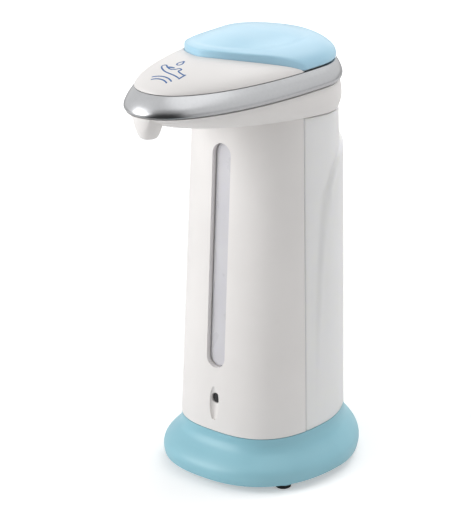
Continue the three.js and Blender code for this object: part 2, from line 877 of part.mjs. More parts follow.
function makeReservoir() {
  const flush = tankOutside().intersect(rearHalf);
  const behindShell = columnBody(innerInset, tankFloorZ);
  const roomBelow = columnBody(shellWall, columnLowZ - overrun).intersect(block(
    [-reach, -reach, -overrun],
    [reach, reach, tankFloorZ],
  ));
  const levelWindow = slotCutter(
    slotWidth / 2 - gap,
    slotBottomZ + gap,
    slotTopZ - gap,
    -reach,
    -splitForward - shellWall,
  ).intersect(columnBody(slotChamfer + gap, tankFloorZ));
  const insideAll = columnBody(innerInset + tankWall, tankFloorZ + tankFloorThickness, -overrun);
  const inside = cut(insideAll, chase(chaseRadius + tankWall, tankFloorZ - overrun));
  const spigotLength = tankFloorZ - tankFloorThickness - gap - shaftZ;
  let tank = cut(join(flush, behindShell, levelWindow), roomBelow);
  tank = join(cut(tank, inside), pillars[2], pillars[3]);
  tank = cut(tank, chase(chaseRadius, tankFloorZ - overrun), pilots[2], pilots[3]);
  const spigotLowZ = tankFloorZ - spigotLength + gap;
  tank = join(tank, rod(barbRadius, spigotLength, [outletX, pumpMiddleY, spigotLowZ], boreSteps));
  return cut(tank, rod(barbBore, aboveHead, [outletX, pumpMiddleY, shaftZ], boreSteps));
}

add(column, 'reservoir', makeReservoir(), 'clear_tank');

// Head
const head = new THREE.Group();
head.name = 'head';
dispenser.add(head);

const bandHeight = bandHead.z - bandFoot.z;

// The head's side between the band's lower edge (0) and upper edge (1)
function bandOval(share, inset, bulge = 0) {
  return oval(mix(bandFoot, bandHead, share), inset - bulge, bandFoot.z + bandHeight * share);
}

// Rings of the dome over the band: its height is a function of the share from the middle out
function domeRings(shares, inset, lift, rise, roundness, lower = []) {
  const rings = lower.map((z) => oval(bandHead, inset, z));
  for (const share of shares) {
    const z = bandHead.z + lift + rise * (1 - share ** 2) ** roundness;
    rings.push(oval(bandHead, inset, z).map((point) => new THREE.Vector3(
      point.x * share,
      (point.y + domeMiddleForward) * share - domeMiddleForward,
      z,
    )));
  }
  return rings;
}

const domeShares = [1, 0.992, 0.97, 0.92, 0.83, 0.7, 0.5, 0.25];
const domeTop = (z) => new THREE.Vector3(0, -domeMiddleForward, z);

// Plan of the lid: a blunt nose in front of its two corners, and everything behind them
function lidPlan(inset) {
  const cornerY = inset - lidCornerForward;
  const half = bandHead.halfWidth - inset;
  const wide = half + overrun;
  const rearY = bandHead.rear + 3 * overrun - inset;
  const nose = lidNoseForward - lidCornerForward;
  const power = 2 / lidNoseSquareness;
  const outline = [[-wide, rearY], [-wide, cornerY]];
  for (let i = 0; i <= noseSteps; i += 1) {
    const angle = Math.PI + Math.PI * i / noseSteps;
    outline.push([
      half * Math.sign(Math.cos(angle)) * Math.abs(Math.cos(angle)) ** power,
      cornerY - nose * Math.abs(Math.sin(angle)) ** power,
    ]);
  }
  outline.push([wide, cornerY], [wide, rearY]);
  return outline;
}

const hingeZ = bandHead.z + hingeLift;
const hingeHalfLength = knuckleHalfLength + gap + earLength;
const hingeClearing = rodX(
  hingeRelief,
  2 * (hingeHalfLength + gap),
  [-hingeHalfLength - gap, hingeY, hingeZ],
  barrelSteps,
);

const bossHeight = bandFoot.z - spoutBottomZ;
const bossRings = bossShares.map(([share, height]) => [share * bossRadius, height * bossHeight]);

const coverScrewSides = [1, -1];
const floorAt = (x, y) => undersideAt(x, y) + headWall;
const screwSeatAt = (x, y) => undersideAt(x, y) + screwHeadHeight + 2 * gap;
const mouthRing = (inset, z) => oval(columnAt(columnTop.z), innerInset + tankWall + gap + inset, z);

function makeHeadHousing() {
  const outside = solid(loft([
    oval(headUnderside, 0, undersideAt),
    oval(mix(headUnderside, bandFoot, 0.35), -0.6 * headWall, (x, y) => (
      undersideAt(x, y) + (bandFoot.z - undersideAt(x, y)) * 0.3)),
    oval(mix(headUnderside, bandFoot, 0.75), -0.5 * headWall, (x, y) => (
      undersideAt(x, y) + (bandFoot.z - undersideAt(x, y)) * 0.68)),
    oval(bandFoot, 0, bandFoot.z - gap / 2),
  ]));
  const lip = solid(loft([
    bandOval(0, bandWall + gap).map((point) => point.setZ(bandFoot.z - headWall)),
    bandOval(0.45, bandWall + gap),
  ]));
  const boss = turned(
    [[0, 0], ...bossRings, [0, bossHeight]],
    [0, -spoutForward, spoutBottomZ],
    neckSteps,
  ).intersect(solid(loft([
    oval(bandFoot, gap, spoutBottomZ - overrun),
    oval(bandFoot, gap, bandFoot.z - gap / 2),
  ])));
  const room = solid(loft([
    oval(headUnderside, headWall, floorAt),
    bandOval(0, bandWall + gap + headWall),
    bandOval(1, bandWall + gap + headWall),
  ]));
  const nozzleSeat = join(
    rod(nozzleRadius + gap, bandHead.z - spoutBottomZ, [0, -spoutForward, spoutBottomZ - overrun]),
    rod(nozzleFlangeRadius + gap, bandHeight, [0, -spoutForward, nozzleFlangeZ - gap]),
    block(
      [-tubeRadius - gap, -spoutForward, nozzleBendZ - tubeRadius - gap],
      [tubeRadius + gap, -spoutForward + 2 * barbLength, bandHead.z],
    ),
  );
  const collar = solid(loft([
    mouthRing(gasketThickness + gap, undersideZ - collarDrop),
    mouthRing(gasketThickness + gap, (x, y) => floorAt(x, y) - gap),
  ]));
  const collarRoom = solid(loft([
    mouthRing(gasketThickness + gap + collarWall, undersideZ - collarDrop - overrun),
    mouthRing(gasketThickness + gap + collarWall, undersideAt),
  ]));
  let housing = cut(join(outside, lip, boss), room, nozzleSeat);
  housing = join(housing, cut(collar, collarRoom, chase(chaseRadius + tankWall + gap + gasketThickness + gap,
    undersideZ - collarDrop - overrun)));
  const belowHead = undersideZ - 2 * overrun;
  const filler = rod(neckRadius + gap, aboveHead, [0, -neckForward, belowHead], neckSteps);
  const tubeHole = rod(tubeRadius + gap, aboveHead, [tubeX, -tubeForward, belowHead], barrelSteps);
  housing = cut(housing, filler, tubeHole);
  for (const side of coverScrewSides) {
    const place = [side * coverScrewX, -coverScrewForward];
    const seatZ = screwSeatAt(...place);
    const seatLowZ = floorAt(...place) - headWall / 2;
    housing = join(housing, rod(
      screwHeadRadius + gap + headWall / 2,
      seatZ + screwSeatThickness - seatLowZ,
      [...place, seatLowZ],
      barrelSteps,
    ));
    housing = cut(
      housing,
      rod(screwRadius + gap, aboveHead, [...place, undersideZ - overrun], boreSteps),
      rod(screwHeadRadius + gap, seatZ - belowHead, [...place, belowHead], barrelSteps),
    );
  }
  return housing;
}

add(head, 'head_housing', makeHeadHousing(), 'white_abs');

function makeTrimBand() {
  const outside = solid(loft(bandBulgeShares.map(([height, bulge]) => {
    const z = bandFoot.z + gap / 2 + (bandHeight - gap) * height;
    return bandOval(height, 0, bulge * bandBulge).map((point) => point.setZ(z));
  })));
  const inside = solid(loft([
    bandOval(0, bandWall).map((point) => point.setZ(bandFoot.z - overrun)),
    bandOval(0, bandWall),
    bandOval(1, bandWall),
    bandOval(1, bandWall).map((point) => point.setZ(bandHead.z + overrun)),
  ]));
  return cut(outside, inside, hingeClearing);
}

add(head, 'trim_band', makeTrimBand(), 'satin_silver');

// Cover: the front of the dome, and a sunken deck with the filler hole under the lid
const deckZ = bandHead.z - wellDepth;
const skirtBottomZ = bandFoot.z + bandHeight * 0.45 + gap;
function makeTopCover() {
  const skirtInset = bandWall + gap;
  const dome = solid(loft(
    domeRings(domeShares, 0, gap / 2, coverRise, domeRoundness),
    domeTop(bandHead.z + gap / 2 + coverRise),
  ));
  const skirt = solid(loft([
    bandOval(0.5, skirtInset).map((point) => point.setZ(skirtBottomZ)),
    bandOval(1, skirtInset),
    bandOval(1, skirtInset).map((point) => point.setZ(bandHead.z + coverWall / 2)),
  ]));
  const overRear = prism(lidPlan(-gap), bandHead.z, bandHead.z + 2 * lidRise);
  const well = prism(lidPlan(coverWall), deckZ, bandHead.z + 2 * lidRise).intersect(solid(loft([
    oval(bandHead, wellMargin, deckZ - overrun),
    oval(bandHead, wellMargin, bandHead.z + 2 * lidRise),
  ])));
  const wellShell = prism(lidPlan(0), deckZ - deckThickness, bandHead.z + overrun).intersect(solid(loft([
    oval(bandHead, wellMargin - coverWall, deckZ - deckThickness - overrun),
    oval(bandHead, wellMargin - coverWall, bandHead.z + 2 * lidRise),
  ])));
  const below = solid(loft([
    bandOval(0.5, skirtInset + coverWall).map((point) => point.setZ(skirtBottomZ - overrun)),
    bandOval(0.95, skirtInset + coverWall),
    ...domeRings(insideShares.slice(1), skirtInset + coverWall, -coverWall, coverRise, domeRoundness),
  ], domeTop(bandHead.z + coverRise - coverWall)));
  let cover = cut(join(dome, skirt), overRear, cut(below, wellShell), well);
  for (const side of coverScrewSides) {
    const place = [side * coverScrewX, -coverScrewForward];
    const low = screwSeatAt(...place) + screwSeatThickness + gap;
    cover = join(
      cover,
      rod(pillarRadius, bandHead.z + coverWall - low, [...place, low]),
      rod(pillarRadius, coverRise, [...place, bandHead.z]).intersect(dome),
    );
    cover = cut(cover, rod(screwRadius + gap, 2 * wellDepth, [...place, low - overrun], boreSteps));
  }
  const filler = rod(neckRadius + gap, 2 * wellDepth, [0, -neckForward, deckZ - 2 * overrun], neckSteps);
  const knuckleArm = block(
    [-knuckleHalfLength, bandHead.rear - wellMargin, hingeZ - knuckleRadius],
    [knuckleHalfLength, hingeY, hingeZ],
  );
  const knuckle = rodX(
    knuckleRadius,
    2 * knuckleHalfLength,
    [-knuckleHalfLength, hingeY, hingeZ],
    barrelSteps,
  );
  cover = join(cut(cover, filler, hingeClearing), knuckleArm, knuckle);
  return cut(cover, rodX(hingePinRadius + gap, reach, [-reach / 2, hingeY, hingeZ], boreSteps));
}

add(head, 'top_cover', makeTopCover(), 'white_abs');

coverScrewSides.forEach((side, i) => {
  const place = [side * coverScrewX, -coverScrewForward];
  const low = screwSeatAt(...place) - screwHeadHeight - gap;
  add(head, `cover_screw_${i + 1}`, screw(coverScrewLength, [...place, low]), 'steel');
});

// Lid: a domed shell with a nose that follows the cover's edge, and a dish pressed into its top
function lidDishAt(x, y) {
  const across = Math.abs(x) / dishHalfWidth;
  const along = Math.abs(y + dishForward) / dishHalfLength;
  const inward = Math.max(0, 1 - across ** 2 - along ** 2);
  const edge = Math.min(1, 2 * inward);
  return dishDepth * edge * edge * (3 - 2 * edge);
}

function lidDome(inset, lower, drop, shares = lidShares) {
  const rings = domeRings(shares, inset, lidStep - drop, lidRise - lidStep, domeRoundness, lower);
  for (const point of rings.flat()) {
    if (point.z > bandHead.z + lidStep + dishDepth) point.z -= lidDishAt(point.x, point.y);
  }
  const crown = bandHead.z + lidRise - drop - lidDishAt(0, -domeMiddleForward);
  return solid(loft(rings, domeTop(crown)));
}

const lidBottomZ = bandHead.z + gap;
const sealBottomZ = deckZ + 2 * gap + neckWall;
function makeLid() {
  const outside = lidDome(0, [lidBottomZ, bandHead.z + lidStep * 0.7], 0).intersect(
    prism(lidPlan(0), bandHead.z, bandHead.z + 2 * lidRise),
  );
  const inside = lidDome(lidWall, [lidBottomZ - overrun], lidWall, insideShares).intersect(
    prism(lidPlan(lidWall), bandHead.z - 2 * overrun, bandHead.z + 2 * lidRise),
  );
  const knuckleNotch = rodX(
    knuckleRadius + gap,
    2 * (knuckleHalfLength + gap),
    [-knuckleHalfLength - gap, hingeY, hingeZ],
    barrelSteps,
  );
  const armNotch = block(
    [-knuckleHalfLength - gap, hingeY - knuckleRadius - lidWall, bandHead.z - overrun],
    [knuckleHalfLength + gap, hingeY + knuckleRadius + gap, hingeZ + gap],
  );
  const sealPost = pipe(
    sealStudRadius + gap + lidWall,
    sealStudRadius + gap,
    lidRise + wellDepth,
    [0, -neckForward, sealBottomZ + gasketThickness + gap],
    neckSteps,
  ).intersect(join(outside, rod(neckRadius, wellDepth + overrun, [0, -neckForward, deckZ])));
  let lid = join(cut(outside, inside), sealPost);
  for (const side of [1, -1]) {
    const inner = side * (knuckleHalfLength + gap);
    const start = Math.min(inner, inner + side * earLength);
    lid = join(lid, rodX(knuckleRadius, earLength, [start, hingeY, hingeZ], barrelSteps));
  }
  lid = cut(lid, knuckleNotch, armNotch);
  return cut(lid, rodX(
    hingePinRadius + gap,
    2 * hingeHalfLength - 2 * gap,
    [-hingeHalfLength + gap, hingeY, hingeZ],
    boreSteps,
  ));
}

add(head, 'filler_lid', makeLid(), 'lid_blue_abs');
add(head, 'lid_hinge_pin', rodX(
  hingePinRadius,
  2 * hingeHalfLength - 4 * gap,
  [-hingeHalfLength + 2 * gap, hingeY, hingeZ],
  boreSteps,
), 'steel');

// Filler neck: a flanged funnel from the deck down into the tank
const neckBottomZ = undersideZ - collarDrop;
add(head, 'filler_neck', turned([
  [neckRadius - neckWall, 0],
  [neckRadius, 0],
  [neckRadius, deckZ + gap - neckBottomZ],
  [neckRadius + neckFlange, deckZ + gap - neckBottomZ],
  [neckRadius + neckFlange, deckZ + gap + neckWall - neckBottomZ],
  [neckRadius, deckZ + gap + neckWall - neckBottomZ],
  [neckRadius - neckWall, deckZ + gap + neckWall / 2 - neckBottomZ],
  [neckRadius - neckWall, 0],
], [0, -neckForward, neckBottomZ], neckSteps), 'white_abs');

// Lid seal: a soft disc over the filler neck, its stud held in the lid's post
add(head, 'lid_seal', turned([
  [0, 0],
  [neckRadius + neckFlange, 0],
  [neckRadius + neckFlange, gasketThickness],
  [sealStudRadius, gasketThickness],
  [sealStudRadius, sealStudHeight],
  [0, sealStudHeight],
], [0, -neckForward, sealBottomZ], neckSteps), 'silicone');

// Tank gasket: a soft ring between the tank's mouth and the collar under the head
function makeTankGasket() {
  const lowZ = undersideZ - collarDrop + gap;
  const ring = (inset, z) => oval(columnAt(columnTop.z), innerInset + tankWall + inset, z);
  const outer = solid(loft([ring(gap, lowZ), ring(gap, lowZ + gasketHeight)]));
  const inner = solid(loft([
    ring(gasketThickness, lowZ - overrun),
    ring(gasketThickness, lowZ + gasketHeight + overrun),
  ]));
  return cut(outer, inner, chase(chaseRadius + tankWall + gap, lowZ - overrun));
}

add(head, 'tank_gasket', makeTankGasket(), 'silicone');

// Nozzle: an upright spout in the boss with a barb that points back to the tube
const barbY = -spoutForward + nozzleRadius + barbLength;
function makeNozzle() {
  const low = spoutBottomZ + gap;
  const spout = turned([
    [0, 0], [nozzleRadius - gap, 0], [nozzleRadius, gap],
    [nozzleRadius, nozzleBendZ + nozzleRadius - low], [0, nozzleBendZ + nozzleRadius - low],
  ], [0, -spoutForward, low], barrelSteps);
  const barb = rodY(barbRadius, nozzleRadius + barbLength, [0, -spoutForward, nozzleBendZ], boreSteps);
  const flangePlace = [0, -spoutForward, nozzleFlangeZ];
  const flange = rod(nozzleFlangeRadius, nozzleFlangeThickness, flangePlace, barrelSteps);
  return cut(
    join(spout, barb, flange),
    rod(nozzleBore, nozzleBendZ + barbBore - low + overrun, [0, -spoutForward, low - overrun]),
    rodY(barbBore, nozzleRadius + barbLength + overrun, [0, -spoutForward, nozzleBendZ]),
  );
}

add(head, 'nozzle', makeNozzle(), 'acetal');

// Pump and motor: built along a shared axis, then laid down with that axis along Y
const drive = new THREE.Group();
drive.name = 'drive_unit';
drive.position.set(0, -pumpForward, shaftZ);
drive.rotation.x = Math.PI / 2;
dispenser.add(drive);

const pitchRadius = gearTeeth * gearModule / 2;
const tipRadius = pitchRadius + addendumShare * gearModule;
const rootRadius = pitchRadius - dedendumShare * gearModule;
const centreDistance = 2 * pitchRadius;
const chamberDepth = gearWidth + 2 * gap;

// One flank of an involute tooth, as [radius, angle from the tooth's middle]
function toothFlank() {
  const pressure = THREE.MathUtils.degToRad(pressureAngle);
  const baseRadius = pitchRadius * Math.cos(pressure);
  const involute = (radius) => {
    const roll = Math.sqrt(Math.max(0, (radius / baseRadius) ** 2 - 1));
    return roll - Math.atan(roll);
  };
  const halfTooth = Math.PI * toothShare / gearTeeth + involute(pitchRadius);
  const lowest = Math.max(rootRadius, baseRadius);
  return [0, 0.5, 1].map((share) => {
    const radius = lowest + (tipRadius - lowest) * share;
    return [radius, halfTooth - involute(radius)];
  });
}

function gearOutline(turn) {
  const flank = toothFlank();
  const outline = [];
  for (let tooth = 0; tooth < gearTeeth; tooth += 1) {
    const middle = turn + 2 * Math.PI * tooth / gearTeeth;
    const up = flank.map(([radius, angle]) => [radius, middle - angle]);
    const down = flank.map(([radius, angle]) => [radius, middle + angle]).reverse();
    const rootAngle = flank[0][1] + rootRelief;
    const sides = [[rootRadius, middle - rootAngle], ...up, ...down, [rootRadius, middle + rootAngle]];
    for (const [radius, angle] of sides) {
      outline.push([radius * Math.cos(angle), radius * Math.sin(angle)]);
    }
  }
  return outline;
}

// Tooth on the line of centres for the driving gear, gap on it for the driven one
const lineOfCentres = -Math.PI / 2;
const driveGear = add(drive, 'drive_gear', cut(
  prism(gearOutline(lineOfCentres), 0, gearWidth),
  rod(shaftRadius + gap / 3, gearWidth + 2 * overrun, [0, 0, -overrun], boreSteps),
), 'acetal');
driveGear.position.z = gap;
const drivenGear = add(drive, 'driven_gear', cut(
  prism(gearOutline(-lineOfCentres + Math.PI / gearTeeth), 0, gearWidth),
  rod(gearBore + gap, gearWidth + 2 * overrun, [0, 0, -overrun], boreSteps),
), 'acetal');
drivenGear.position.set(0, -centreDistance, gap);
const gearPin = add(drive, 'driven_gear_pin', rod(
  gearBore,
  chamberDepth + pumpBackWall / 2,
  [0, 0, -pumpBackWall / 2 + gap],
  boreSteps,
), 'steel');
gearPin.position.y = -centreDistance;

// The pump's outline: two round ends joined by straight sides
function pumpOutline(radius) {
  const shape = new THREE.Shape();
  shape.absarc(0, 0, radius, 0, Math.PI);
  shape.absarc(0, -centreDistance, radius, Math.PI, 2 * Math.PI);
  return shape;
}

function pumpPlate(radius, lowZ, highZ) {
  const geometry = new THREE.ExtrudeGeometry(
    pumpOutline(radius),
    { depth: highZ - lowZ, bevelEnabled: false, curveSegments: arcSteps },
  );
  geometry.translate(0, 0, lowZ);
  return solid(geometry);
}

const pumpRadius = tipRadius + gap + pumpWall;
const pumpMiddle = -centreDistance / 2;
const portZ = chamberDepth / 2;
const screwSpots = [
  [pumpScrewOffset, pumpRadius - pumpScrewOffset / 2],
  [-pumpScrewOffset, -centreDistance - pumpRadius + pumpScrewOffset / 2],
];
function portRod(radius, length, start) {
  return rodX(radius, length, [start, pumpMiddle, portZ], boreSteps);
}

function lugs(radius, lowZ, highZ) {
  return screwSpots.map(([x, y]) => rod(radius, highZ - lowZ, [x, y, lowZ], boreSteps));
}

const lugRadius = screwRadius + gap + pumpWall / 2;
const barbStart = pumpRadius;
function makePumpBody() {
  const chamber = join(
    rod(tipRadius + gap, chamberDepth + overrun, [0, 0, 0], neckSteps),
    rod(tipRadius + gap, chamberDepth + overrun, [0, -centreDistance, 0], neckSteps),
  );
  const body = join(
    pumpPlate(pumpRadius, -pumpBackWall, chamberDepth),
    ...lugs(lugRadius, -pumpBackWall, chamberDepth),
    portRod(barbRadius, 2 * (barbStart + barbLength), -barbStart - barbLength),
  );
  return cut(
    body,
    chamber,
    portRod(barbBore, 2 * (barbStart + barbLength + overrun), -barbStart - barbLength - overrun),
    rod(shaftRadius + gap, pumpBackWall + 2 * overrun, [0, 0, -pumpBackWall - overrun], boreSteps),
    rod(sealRadius + gap, sealLength + overrun, [0, 0, -pumpBackWall - overrun], boreSteps),
    rod(gearBore + gap, pumpBackWall / 2 + overrun, [0, -centreDistance, -pumpBackWall / 2], boreSteps),
    ...screwSpots.map(([x, y]) => (
      rod(screwRadius + gap, 3 * chamberDepth, [x, y, -chamberDepth], boreSteps))),
  );
}

add(drive, 'pump_body', makePumpBody(), 'grey_abs');

function layer(thickness, lowZ) {
  const highZ = lowZ + thickness;
  const plate = join(pumpPlate(pumpRadius, lowZ, highZ), ...lugs(lugRadius, lowZ, highZ));
  const holes = screwSpots.map(([x, y]) => (
    rod(screwRadius + gap, 3 * thickness, [x, y, lowZ - thickness], boreSteps)));
  return cut(plate, ...holes);
}

const gasketZ = chamberDepth + gap;
const pumpCoverZ = gasketZ + pumpGasketThickness + gap;
add(drive, 'pump_gasket', layer(pumpGasketThickness, gasketZ), 'silicone');
add(drive, 'pump_cover', layer(pumpCoverThickness, pumpCoverZ), 'grey_abs');

// Pump screws pass through everything into the bracket, their heads in front
const bracketZ = -pumpBackWall - gap - bracketThickness;
const pumpScrewLength = pumpCoverZ + pumpCoverThickness + gap + screwHeadHeight - bracketZ + gap;
screwSpots.forEach(([x, y], i) => {
  const bolt = geometryOf(screw(pumpScrewLength, [0, 0, 0]));
  bolt.rotateX(Math.PI);
  bolt.translate(x, y, pumpCoverZ + pumpCoverThickness + gap + screwHeadHeight);
  add(drive, `pump_screw_${i + 1}`, bolt, 'steel');
});

add(drive, 'shaft_seal', pipe(
  sealRadius,
  shaftRadius + gap / 2,
  sealLength - 2 * gap,
  [0, 0, -pumpBackWall + gap],
), 'silicone');

// Motor: a flat-sided can behind the bracket, a plastic end cap, and the shaft through it all
const canFrontZ = bracketZ - gap;
function motorOutline(halfWidth, halfHeight) {
  const corner = Math.acos(halfHeight / halfWidth);
  const shape = new THREE.Shape();
  shape.absarc(0, 0, halfWidth, corner - Math.PI / 2, Math.PI / 2 - corner);
  shape.absarc(0, 0, halfWidth, Math.PI / 2 + corner, 3 * Math.PI / 2 - corner);
  return shape;
}

function motorBody(halfWidth, halfHeight, lowZ, highZ) {
  const geometry = new THREE.ExtrudeGeometry(
    motorOutline(halfWidth, halfHeight),
    { depth: highZ - lowZ, bevelEnabled: false, curveSegments: arcSteps },
  );
  geometry.translate(0, 0, lowZ);
  return solid(geometry);
}

const canRearZ = canFrontZ - motorLength;
const shaftTopZ = gap + gearWidth;
const shaftBottomZ = canRearZ - gap;
const shaftBore = (lowZ, highZ) => rod(shaftRadius + gap, highZ - lowZ, [0, 0, lowZ], boreSteps);
add(drive, 'motor_can', cut(
  join(motorBody(motorHalfWidth, motorHalfHeight, canRearZ, canFrontZ), rod(
    motorBossRadius,
    motorBossLength + gap,
    [0, 0, canFrontZ - gap],
    boreSteps,
  )),
  shaftBore(canRearZ - overrun, canFrontZ + 2 * overrun),
), 'steel');
add(drive, 'motor_end_cap', cut(
  join(
    motorBody(motorHalfWidth - gap, motorHalfHeight - gap, canRearZ - gap - motorCapLength, canRearZ - gap),
    ...[1, -1].map((side) => block(
      [side * motorHalfWidth / 2 - gap, -motorBossRadius / 2, canRearZ - 2 * motorCapLength],
      [side * motorHalfWidth / 2 + gap, motorBossRadius / 2, canRearZ - motorCapLength],
    )),
  ),
  rod(motorBossRadius, motorCapLength / 2, [0, 0, canRearZ - motorCapLength / 2], boreSteps),
), 'black_abs');
const shaftLength = shaftTopZ - shaftBottomZ;
add(drive, 'motor_shaft', rod(shaftRadius - gap / 3, shaftLength, [0, 0, shaftBottomZ], boreSteps), 'steel');

// Carrier on the battery tray: it holds the pump, the motor and both boards
const carrier = new THREE.Group();
carrier.name = 'electronics_bay';
dispenser.add(carrier);

const carrierZ = trayTopZ + gap;
const plateTopZ = carrierZ + carrierThickness;
const sensorPostRear = -sensorBoardForward + boardThickness + gap + boardPost;
const bracketRearY = -pumpForward - bracketZ;
const bracketFrontY = bracketRearY - bracketThickness;
const controlFaceX = controlBoardX + boardThickness + gap;
function makeCarrier() {
  const plate = block([-motorHalfWidth - 2 * boardPost, -splitForward - shellWall * 4, carrierZ], [
    controlFaceX + boardPost, bracketRearY + motorLength, plateTopZ,
  ]);
  const tongue = block(
    [-sensorBoardHalfWidth, sensorPostRear - boardPost, carrierZ],
    [sensorBoardHalfWidth, -splitForward, plateTopZ],
  );
  const pumpFrontY = -pumpForward - pumpCoverZ - pumpCoverThickness - screwHeadHeight - gap;
  const pumpRoom = block(
    [-lugRadius - pumpRadius, pumpFrontY - gap, carrierZ - overrun],
    [lugRadius + pumpRadius, bracketFrontY - gap, shaftZ],
  );
  const bracket = block(
    [-motorHalfWidth - 2 * gap - boardPost, bracketFrontY, carrierZ],
    [motorHalfWidth + 2 * gap + boardPost, bracketRearY, carrierTopZ],
  );
  const cheekMiddleX = motorHalfWidth + gap + boardPost / 2;
  const cheeks = [1, -1].map((side) => block(
    [side * cheekMiddleX - boardPost / 2, bracketRearY - gap, carrierZ],
    [side * cheekMiddleX + boardPost / 2, bracketRearY + motorLength / 2, shaftZ],
  ));
  const sensorPosts = [1, -1].map((side) => block(
    [side * sensorBoardHalfWidth * 0.7 - boardPost, sensorPostRear - boardPost, carrierZ],
    [side * sensorBoardHalfWidth * 0.7 + boardPost, sensorPostRear, sensorBoardBottomZ + sensorBoardHeight],
  ));
  const controlPostTopZ = controlBoardBottomZ + controlBoardHeight * 0.8;
  const controlPosts = [controlBoardLength * 0.2, controlBoardLength * 0.85].map((back) => block(
    [controlFaceX, controlBoardRear - back - boardPost / 2, carrierZ],
    [controlFaceX + boardPost, controlBoardRear - back + boardPost / 2, controlPostTopZ],
  ));
  const floor = cut(join(plate, tongue), pumpRoom);
  const pieces = join(floor, bracket, ...cheeks, ...sensorPosts, ...controlPosts);
  const whole = pieces.intersect(columnBody(lipInner + gap, carrierZ - overrun));
  const boreY = bracketFrontY - bracketThickness;
  return cut(
    whole,
    rodY(motorBossRadius + gap, 3 * bracketThickness, [0, boreY, shaftZ], boreSteps),
    ...screwSpots.map(([x, y]) => (
      rodY(screwRadius + gap, 3 * bracketThickness, [x, boreY, shaftZ + y], boreSteps))),
  );
}

add(carrier, 'pump_carrier', makeCarrier(), 'grey_abs');

function makeSensorBoard() {
  const rear = -sensorBoardForward + boardThickness;
  const board = block(
    [-sensorBoardHalfWidth, -sensorBoardForward, sensorBoardBottomZ],
    [sensorBoardHalfWidth, rear, sensorBoardBottomZ + sensorBoardHeight],
  );
  const chip = block(
    [-chipWidth / 2, rear - gap, sensorBoardBottomZ + boardMargin / 2],
    [chipWidth / 2, rear + chipStand, sensorBoardBottomZ + boardMargin / 2 + chipHeight],
  );
  return join(board, chip);
}

add(carrier, 'sensor_board', makeSensorBoard(), 'board_green');

function makeControlBoard() {
  const front = controlBoardRear - controlBoardLength;
  const topZ = controlBoardBottomZ + controlBoardHeight;
  const board = block(
    [controlBoardX, front, controlBoardBottomZ],
    [controlBoardX + boardThickness, controlBoardRear, topZ],
  );
  const onBoard = (lowY, lowZ, width, height, stand) => block(
    [controlBoardX - stand, front + lowY, controlBoardBottomZ + lowZ],
    [controlBoardX + gap, front + lowY + width, controlBoardBottomZ + lowZ + height],
  );
  const connectorLowZ = controlBoardHeight - boardMargin / 2 - chipHeight;
  const relayLowY = controlBoardLength - boardMargin - relayWidth;
  const capacitor = geometryOf(rod(capacitorRadius, capacitorLength));
  capacitor.rotateY(-Math.PI / 2);
  capacitor.translate(controlBoardX + gap, controlBoardRear - boardMargin, topZ - boardMargin);
  return join(
    board,
    onBoard(boardMargin, boardMargin, chipWidth, chipHeight, chipStand),
    onBoard(boardMargin, connectorLowZ, chipWidth, chipHeight, connectorStand),
    onBoard(relayLowY, boardMargin / 2, relayWidth, relayHeight, relayStand),
    solid(capacitor),
  );
}

add(carrier, 'control_board', makeControlBoard(), 'board_green');

function makeLed(z) {
  const start = -sensorBoardForward - gap - ledLength;
  return join(
    rodY(ledRadius, ledLength, [0, start, z]),
    rodY(ledRadius + gap / 2, ledRadius / 2, [0, -sensorBoardForward - gap - ledRadius / 2, z]),
  );
}

add(carrier, 'ir_emitter', makeLed(windowZ + ledPitch / 2), 'led_clear');
add(carrier, 'ir_receiver', makeLed(windowZ - ledPitch / 2), 'dark_lens');

const windowRearY = -sensorBoardForward - 2 * gap - ledLength;
const windowFrontY = -columnAt(windowZ).front + dimpleDepth;
add(carrier, 'sensor_window', slotCutter(
  windowWidth / 2,
  windowZ - windowHeight / 2,
  windowZ + windowHeight / 2,
  windowFrontY,
  windowRearY,
), 'dark_lens');

// Liquid path: strainer on the tank floor, tube to the pump, tube from the pump to the nozzle
function makeStrainer() {
  const lowZ = tankFloorZ + tankFloorThickness + gap;
  const disc = rod(strainerRadius, strainerThickness, [outletX, pumpMiddleY, lowZ], barrelSteps);
  const holes = [0, 1, 2, 3, 4, 5].map((i) => rod(
    strainerHole,
    3 * strainerThickness,
    [
      outletX + strainerRadius * 0.6 * Math.cos(Math.PI * i / 3),
      pumpMiddleY + strainerRadius * 0.6 * Math.sin(Math.PI * i / 3),
      lowZ - strainerThickness,
    ],
    arcSteps,
  ));
  return cut(disc, ...holes);
}

add(column, 'tank_strainer', makeStrainer(), 'acetal');

